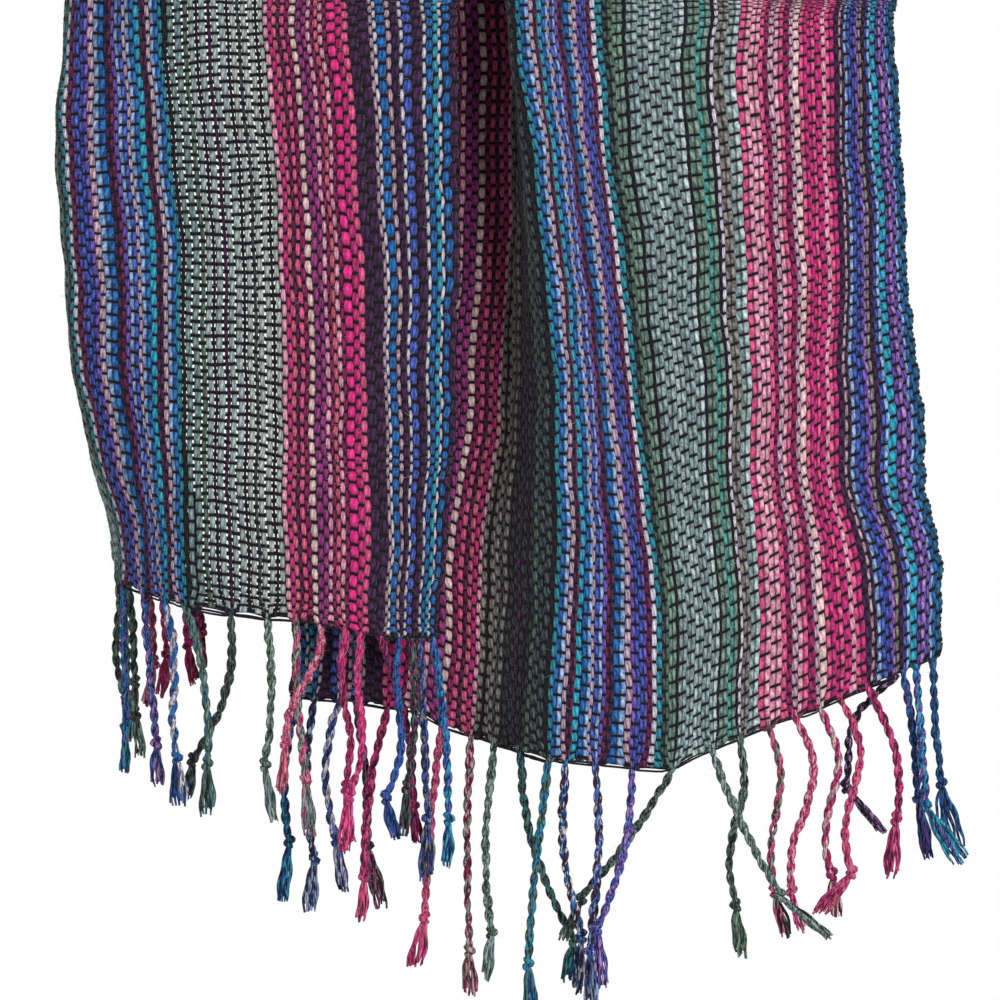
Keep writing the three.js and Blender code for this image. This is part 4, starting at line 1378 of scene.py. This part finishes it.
def twisting() -> ShapingTree:
    """The tree that twists yarns along their paths and makes them tubes.

    Returns:
        The tree.
    """
    rows: list[Row] = [
        *[(name, GIVEN, {"data_type": "FLOAT"}, {"Name": name}) for name in ("thick", "swing", "phase")],
        ("path", "GeometryNodeMeshToCurve", {}, {"Mesh": "@given.Geometry"}),
        ("stepped", "GeometryNodeResampleCurve", {"mode": "LENGTH"},
         {"Curve": "@path", "Length": "@given.Step"}),
        ("along", "GeometryNodeSplineParameter", {}, {}),
        ("turns", MATH, {"operation": "DIVIDE"}, {0: "@along.Length", 1: "@given.Pitch"}),
        ("angle", MATH, MULTIPLY_ADD, {0: "@turns", 1: TURN, 2: "@phase.Attribute"}),
        ("side", "GeometryNodeInputNormal", {}, {}),
        ("way", "GeometryNodeInputTangent", {}, {}),
        ("turned", "ShaderNodeVectorRotate", {"rotation_type": "AXIS_ANGLE"},
         {"Vector": "@side.Normal", "Axis": "@way", "Angle": "@angle"}),
        ("offset", VECTOR, SCALE, {0: "@turned", "Scale": "@swing.Attribute"}),
        ("twisted", "GeometryNodeSetPosition", {}, {"Geometry": "@stepped", "Offset": "@offset"}),
        ("ring", "GeometryNodeCurvePrimitiveCircle", {}, {"Resolution": "@given.Sides", "Radius": 1.0}),
        ("tube", "GeometryNodeCurveToMesh", {}, {
            "Curve": "@twisted", "Profile Curve": "@ring", "Scale": "@thick.Attribute", "Fill Caps": True}),
        ("soft", "GeometryNodeSetShadeSmooth", {}, {0: "@tube"}),
    ]
    return ShapingTree("twisted yarns", {
        "Step": "NodeSocketFloat", "Pitch": "NodeSocketFloat", "Sides": "NodeSocketInt"}, rows)


@dataclass
class Fringe:
    """The strands of one hem: two plies twisted together, a knot, and a tassel of loose yarns."""

    side: Side
    surface: ClothSurface
    strands: list[tuple]
    tree: ShapingTree
    material: bpy.types.Material
    ply_radius: float = 0.92
    ply_swing: float = 0.66
    twist_pitch: float = 9.5     # along a strand, for one turn
    uneven: float = 0.12         # of the plies' thickness and swing along a strand
    stray: float = 0.192         # of a strand from its route
    route_steps: int = 14
    knot_radius: float = 1.25
    knot_yarn: float = 1.2
    knot_turn: float = 3.2 * math.pi
    knot_half: float = 2.1       # of its length
    knot_steps: int = 15
    tassel_yarns: int = 12
    tassel_steps: int = 7
    tassel_radius: float = 0.5
    tassel_reach: tuple[float, float] = (0.82, 1.05)     # of its yarns, as shares of the row's length
    tassel_deep: float = 1.6     # how far its tips lie forwards or back
    tassel_curl: float = 0.6
    tassel_swing: float = 0.25
    tassel_tuck: float = 0.8     # how far below the knot's middle its yarns begin
    step: float = 0.9            # of the tubes, along the yarn
    sides: int = 6
    tassel_step: float = 1.5
    tassel_sides: int = 4

    def __post_init__(self) -> None:
        """Seeds what varies from strand to strand."""
        self.random = np.random.default_rng(FRINGE_SEED + self.side.value)

    def route(self, strand: tuple, t: Array) -> Array:
        """The middle line of a strand.

        Args:
            strand: its row of the table.
            t: shares of the way from the root to the knot.

        Returns:
            Points in millimetres.
        """
        at, dx, drop, bow, sway, front = strand[:6]
        strip = self.surface.hem[self.side] + self.side.value * (SEAM_GAP + STRIP_DEPTH / 2)
        root = self.surface.point(strip, at, 0.0)
        return np.stack((root[0] + dx * t + bow * np.sin(math.pi * t) + sway * np.sin(TURN * t),
                         root[1] - front * np.sin(t * math.pi / 2), root[2] - drop * t), axis=-1)

    def _plies(self, strand: tuple) -> list[YarnPath]:
        """The two plies of a strand, from just inside the cloth to the knot.

        Args:
            strand: its row of the table.

        Returns:
            Their paths.
        """
        t = np.linspace(-0.05, 1.0, self.route_steps)
        points = self.route(strand, t)
        swing = self.ply_swing * np.interp(t, [-0.05, 0.06, 0.95, 1.0], [0.5, 1.0, 1.0, 0.5])
        thick = self.ply_radius * np.interp(t, [-0.05, 0.08, 1.0], [0.8, 1.0, 0.95])
        thick = thick * (1 + self.uneven * self.random.standard_normal(len(t)))
        points = points + self.stray * self.random.standard_normal(points.shape)
        swing = swing * (1 + self.uneven * self.random.standard_normal(len(t)))
        start = self.random.uniform(0, TURN)
        return [YarnPath(points, thick, swing, start, strand[9], strand[11]),
                YarnPath(points, thick, swing, start + math.pi, strand[10], strand[11])]

    def _knot(self, strand: tuple) -> YarnPath:
        """The overhand knot: a yarn that winds once and a half round the strand and tucks in.

        Args:
            strand: its row of the table.

        Returns:
            Its path.
        """
        centre = self.route(strand, np.array(1.0))
        turn = np.linspace(0, self.knot_turn, self.knot_steps) + self.random.uniform(0, TURN)
        share = np.linspace(-1, 1, self.knot_steps)
        radius = self.knot_radius * (1 - 0.55 * share ** 2)
        winding = (radius * np.cos(turn), 0.8 * radius * np.sin(turn), -self.knot_half * share)
        thick = self.knot_yarn * (1 - 0.3 * share ** 2)
        return YarnPath(centre + np.stack(winding, axis=-1), thick, 0 * thick, 0.0, strand[9], strand[11])

    def _tassel(self, strand: tuple) -> list[YarnPath]:
        """The loose yarns below a knot, which spread and curl a little.

        Args:
            strand: its row of the table.

        Returns:
            Their paths.
        """
        knot = self.route(strand, np.array(1.0))
        tip_x, tip_drop, fan = strand[6:9]
        paths = []
        for k in range(self.tassel_yarns):
            spread = k / (self.tassel_yarns - 1) - 0.5
            reach = tip_drop * self.random.uniform(*self.tassel_reach)
            deep = self.random.uniform(-self.tassel_deep, self.tassel_deep)
            tip = np.array([tip_x + 1.5 * spread * fan, deep, -reach])
            curl = self.random.uniform(-self.tassel_curl, self.tassel_curl, 2)
            t = np.linspace(0, 1, self.tassel_steps)[:, None]
            bulge = np.sin(math.pi * t)
            points = knot + tip * t + np.array([0.55 * spread * fan + curl[0], curl[1], 0.0]) * bulge
            points[:, 2] -= self.tassel_tuck
            thick = self.tassel_radius * np.interp(t[:, 0], [0, 0.7, 1], [1.2, 1.1, 0.7])
            swing = np.full(len(t), self.tassel_swing)
            paths.append(YarnPath(points, thick, swing, spread * 9, strand[9 + k % 3], strand[11]))
        return paths

    def _spin(self, name: str, paths: Sequence[YarnPath], step: float, sides: int) -> bpy.types.Object:
        """Makes a plain mesh of yarns.

        Args:
            name: of the object.
            paths: a path for each yarn.
            step: between the rings of the tubes.
            sides: of the tubes.

        Returns:
            The object.
        """
        points = np.concatenate([p.points for p in paths]) * MM
        counts = [len(p.points) for p in paths]
        starts = np.concatenate(([0], np.cumsum(counts)))
        edges = np.concatenate([np.stack((np.arange(a, b - 1), np.arange(a + 1, b)), axis=1)
                                for a, b in zip(starts[:-1], starts[1:])])
        mesh = bpy.data.meshes.new(name + "_paths")
        mesh.from_pydata(points.tolist(), edges.tolist(), [])
        values = {
            "thick": np.concatenate([p.thick for p in paths]) * MM,
            "swing": np.concatenate([p.swing for p in paths]) * MM,
            "phase": np.concatenate([np.full(n, p.phase) for n, p in zip(counts, paths)]),
        }
        for key, numbers in values.items():
            store(mesh, key, "FLOAT", numbers)
        for key, dyes in (("light", [YARNS[p.yarn].light for p in paths]),
                          ("dark", [YARNS[p.yarn].dark for p in paths]),
                          ("fleck", [YARNS[p.fleck].light for p in paths])):
            store(mesh, key, "FLOAT_COLOR", np.repeat([linear(dye) for dye in dyes], counts, axis=0))
        return self.tree.shape(mesh, name, {
            "Step": step * MM, "Pitch": self.twist_pitch * MM, "Sides": sides, "Material": self.material})

    def build(self) -> tuple[bpy.types.Object, bpy.types.Object]:
        """All strands of the hem.

        Returns:
            The knotted strands, and the tassels below their knots.
        """
        cords: list[YarnPath] = []
        tassels: list[YarnPath] = []
        for strand in self.strands:
            cords += [*self._plies(strand), self._knot(strand)]
            tassels += self._tassel(strand)
        word = self.side.name.lower()
        return (self._spin(f"{word}_strands", cords, self.step, self.sides),
                self._spin(f"{word}_tassels", tassels, self.tassel_step, self.tassel_sides))


# ---------------------------------------------------------------- the halo

def hairs() -> ShapingTree:
    """The tree that sets a fine hair on each point given.

    Returns:
        The tree.
    """
    rows: list[Row] = [
        *[(name, GIVEN, {"data_type": "FLOAT_VECTOR"}, {"Name": name}) for name in ("way", "size")],
        ("turned", "FunctionNodeAlignRotationToVector", {"axis": "Z"}, {"Vector": "@way.Attribute"}),
        ("hair", "GeometryNodeMeshCone", {"fill_type": "NONE"}, {
            "Vertices": 3, "Side Segments": 1, "Radius Top": 0.0, "Radius Bottom": "@given.Radius",
            "Depth": 1.0}),
        ("spread", "GeometryNodeInstanceOnPoints", {}, {
            "Points": "@given.Geometry", "Instance": "@hair.Mesh", "Rotation": "@turned",
            "Scale": "@size.Attribute"}),
    ]
    return ShapingTree("halo", {"Radius": "NodeSocketFloat"}, rows)


@dataclass
class Halo:
    """The hairs that stand off one piece."""

    tree: ShapingTree
    material: bpy.types.Material
    radius: float = 0.045
    length: tuple[float, float] = (0.8, 2.8)
    stand: float = 0.45          # how far the hairs stand up: 0 any way, 1 mostly along the normal
    astray: float = 0.6          # how far they point elsewhere
    on_dark: float = 0.02        # the darkest places grow some too, dark dye and painted shade alike

    def grow(self, piece: bpy.types.Object, name: str, count: int, seed: int) -> bpy.types.Object:
        """Grows hairs most where the yarn's lighter dye shows brightest, with the painted shade that the warp
        carries in it.

        Args:
            piece: what they grow on.
            name: of the new object.
            count: of the hairs.
            seed: of the random numbers.

        Returns:
            The hairs as one plain mesh.
        """
        random = np.random.default_rng(seed)
        total = len(piece.data.vertices)
        values = {"co": np.empty(total * 3, np.float32), "normal": np.empty(total * 3, np.float32)}
        for key, numbers in values.items():
            piece.data.vertices.foreach_get(key, numbers)
        dyes = np.empty(total * 4, np.float32)
        piece.data.attributes["light"].data.foreach_get("color", dyes)
        dyes = dyes.reshape(-1, 4)
        weight = dyes[:, :3].max(axis=1) + self.on_dark
        chosen = random.choice(total, count, replace=False, p=weight / weight.sum())
        outwards = values["normal"].reshape(-1, 3)[chosen]
        way = self.stand * outwards + self.astray * random.standard_normal((count, 3))
        way /= np.linalg.norm(way, axis=1, keepdims=True)
        size = np.ones((count, 3))
        size[:, 2] = random.uniform(*self.length, count) * MM
        mesh = bpy.data.meshes.new(name + "_roots")
        mesh.from_pydata(values["co"].reshape(-1, 3)[chosen].tolist(), [], [])
        store(mesh, "way", "FLOAT_VECTOR", way)
        store(mesh, "size", "FLOAT_VECTOR", size)
        store(mesh, "light", "FLOAT_COLOR", dyes[chosen])
        return self.tree.shape(mesh, name, {"Radius": self.radius * MM, "Material": self.material})


# ---------------------------------------------------------------- stage

@dataclass
class Stage:
    """A pale floor below the scarf, soft light all round, and the camera before it."""

    floor_level: float = -0.95
    floor_half: float = 0.9
    frame_width: float = 1000 / 3 * MM      # what the picture shows at the cloth, in metres
    frame_centre: tuple[float, float, float] = (0.0, -0.105, -0.6137)
    distance: float = 3.2
    sensor: float = 36.0
    ambient: float = 0.24        # light from all round; the backdrop itself shows white
    aim: float = 0.15            # the lights face this far above the picture's centre
    floor_colour: str = "#f2f1ef"

    def build(self) -> None:
        """Makes the floor, the lights and the camera."""
        self._floor()
        for row in LIGHTS:
            self._light(*row)
        world = bpy.data.worlds.new("white studio")
        world.use_nodes = True
        background = world.node_tree.nodes["Background"]
        background.inputs["Color"].default_value = (1, 1, 1, 1)
        add_node(world.node_tree, "rays", "ShaderNodeLightPath", {}, {})
        seen = add_node(world.node_tree, "seen", RANGE, {}, {
            "Value": "@rays.Is Camera Ray", "To Min": self.ambient, "To Max": 1.0})
        world.node_tree.links.new(seen.outputs[0], background.inputs["Strength"])
        bpy.context.scene.world = world
        camera = bpy.data.cameras.new("camera")
        camera.sensor_width = self.sensor
        camera.lens = self.sensor * self.distance / self.frame_width
        camera.clip_end = 50.0
        eye = bpy.data.objects.new("camera", camera)
        x, y, z = self.frame_centre
        eye.location = (x, y - self.distance, z)
        eye.rotation_euler = (math.pi / 2, 0, 0)
        bpy.context.scene.collection.objects.link(eye)
        bpy.context.scene.camera = eye
        bpy.context.scene.view_settings.view_transform = "Standard"

    def _floor(self) -> None:
        """A plain pale floor."""
        h, z = self.floor_half, self.floor_level
        corners = np.array([(-h, -h, z), (h, -h, z), (h, h, z), (-h, h, z)]) / MM
        floor = mesh_object("floor", corners, [np.array([[0, 1, 2, 3]])])
        floor.data.materials.append(
            new_material("pale matt floor", 0.9, 0.0, [], {"Base Color": linear(self.floor_colour)}))

    def _light(self, name: str, place: tuple[float, float, float], size: float, power: float) -> None:
        """A soft square light that faces the woven ends.

        Args:
            name: of the light.
            place: where it stands.
            size: of its sides.
            power: in watts.
        """
        lamp = bpy.data.lights.new(name, "AREA")
        lamp.size = size
        lamp.energy = power
        holder = bpy.data.objects.new(name, lamp)
        target = np.array(self.frame_centre) + (0, 0, self.aim)
        way = target - np.array(place)
        flat = math.hypot(way[0], way[1])
        holder.location = place
        holder.rotation_euler = (math.atan2(flat, -way[2]), 0, math.atan2(way[1], way[0]) - math.pi / 2)
        bpy.context.scene.collection.objects.link(holder)


def fit(piece: bpy.types.Object, material: bpy.types.Material | None = None) -> None:
    """Dresses a piece, lets it ride on the part's body, and reports it.

    Args:
        piece: a finished mesh object.
        material: its material, where it has none yet.
    """
    if material is not None:
        piece.data.materials.append(material)
    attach(piece, BODY)
    LOG.info("%s: %d triangles", piece.name, sum(len(p.vertices) - 2 for p in piece.data.polygons))


def main() -> None:
    """Builds the scarf and its stage, and reports each piece."""
    logging.basicConfig(level=logging.INFO, format="%(name)s: %(message)s")
    surface = ClothSurface()
    drape = Drape()
    yarn = AlpacaYarn().build()
    weft_yarn = DarkWeft().build()
    cord = CordYarn().build()
    twist = twisting()
    halo = Halo(hairs(), AlpacaHalo().build())
    threading = Threading.read(surface.edges)
    tops: dict[Side, float] = {}
    ends = ((Side.LEFT, LEFT_STRANDS, LEFT_PICKS), (Side.RIGHT, RIGHT_STRANDS, RIGHT_PICKS))
    for side, strands, picks in ends:
        word = side.name.lower()
        end = WovenEnd(side, surface, drape, threading, strands, picks)
        tops[side] = end.top
        warp = end.weave_warp()
        weft = end.weave_weft()
        cords, tassels = Fringe(side, surface, strands, twist, cord).build()
        fit(warp, yarn)
        fit(weft, weft_yarn)
        fit(cords)
        fit(tassels)
        cloth_halo = halo.grow(warp, f"{word}_cloth_halo", CLOTH_HAIRS, CLOTH_HALO_SEED + side.value)
        fringe_halo = halo.grow(cords, f"{word}_fringe_halo", FRINGE_HAIRS, FRINGE_HALO_SEED + side.value)
        fit(cloth_halo)
        fit(fringe_halo)
        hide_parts(f"{word}_end")
        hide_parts(f"{word}_fringe")
    shell = ClothShell(surface, threading, tops[Side.LEFT], tops[Side.RIGHT])
    cloth = shell.build()
    fit(cloth, ShellWeave().build())
    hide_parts("neck_loop")
    Stage().build()
    bpy.context.view_layer.update()


if __name__ == "__main__":
    main()
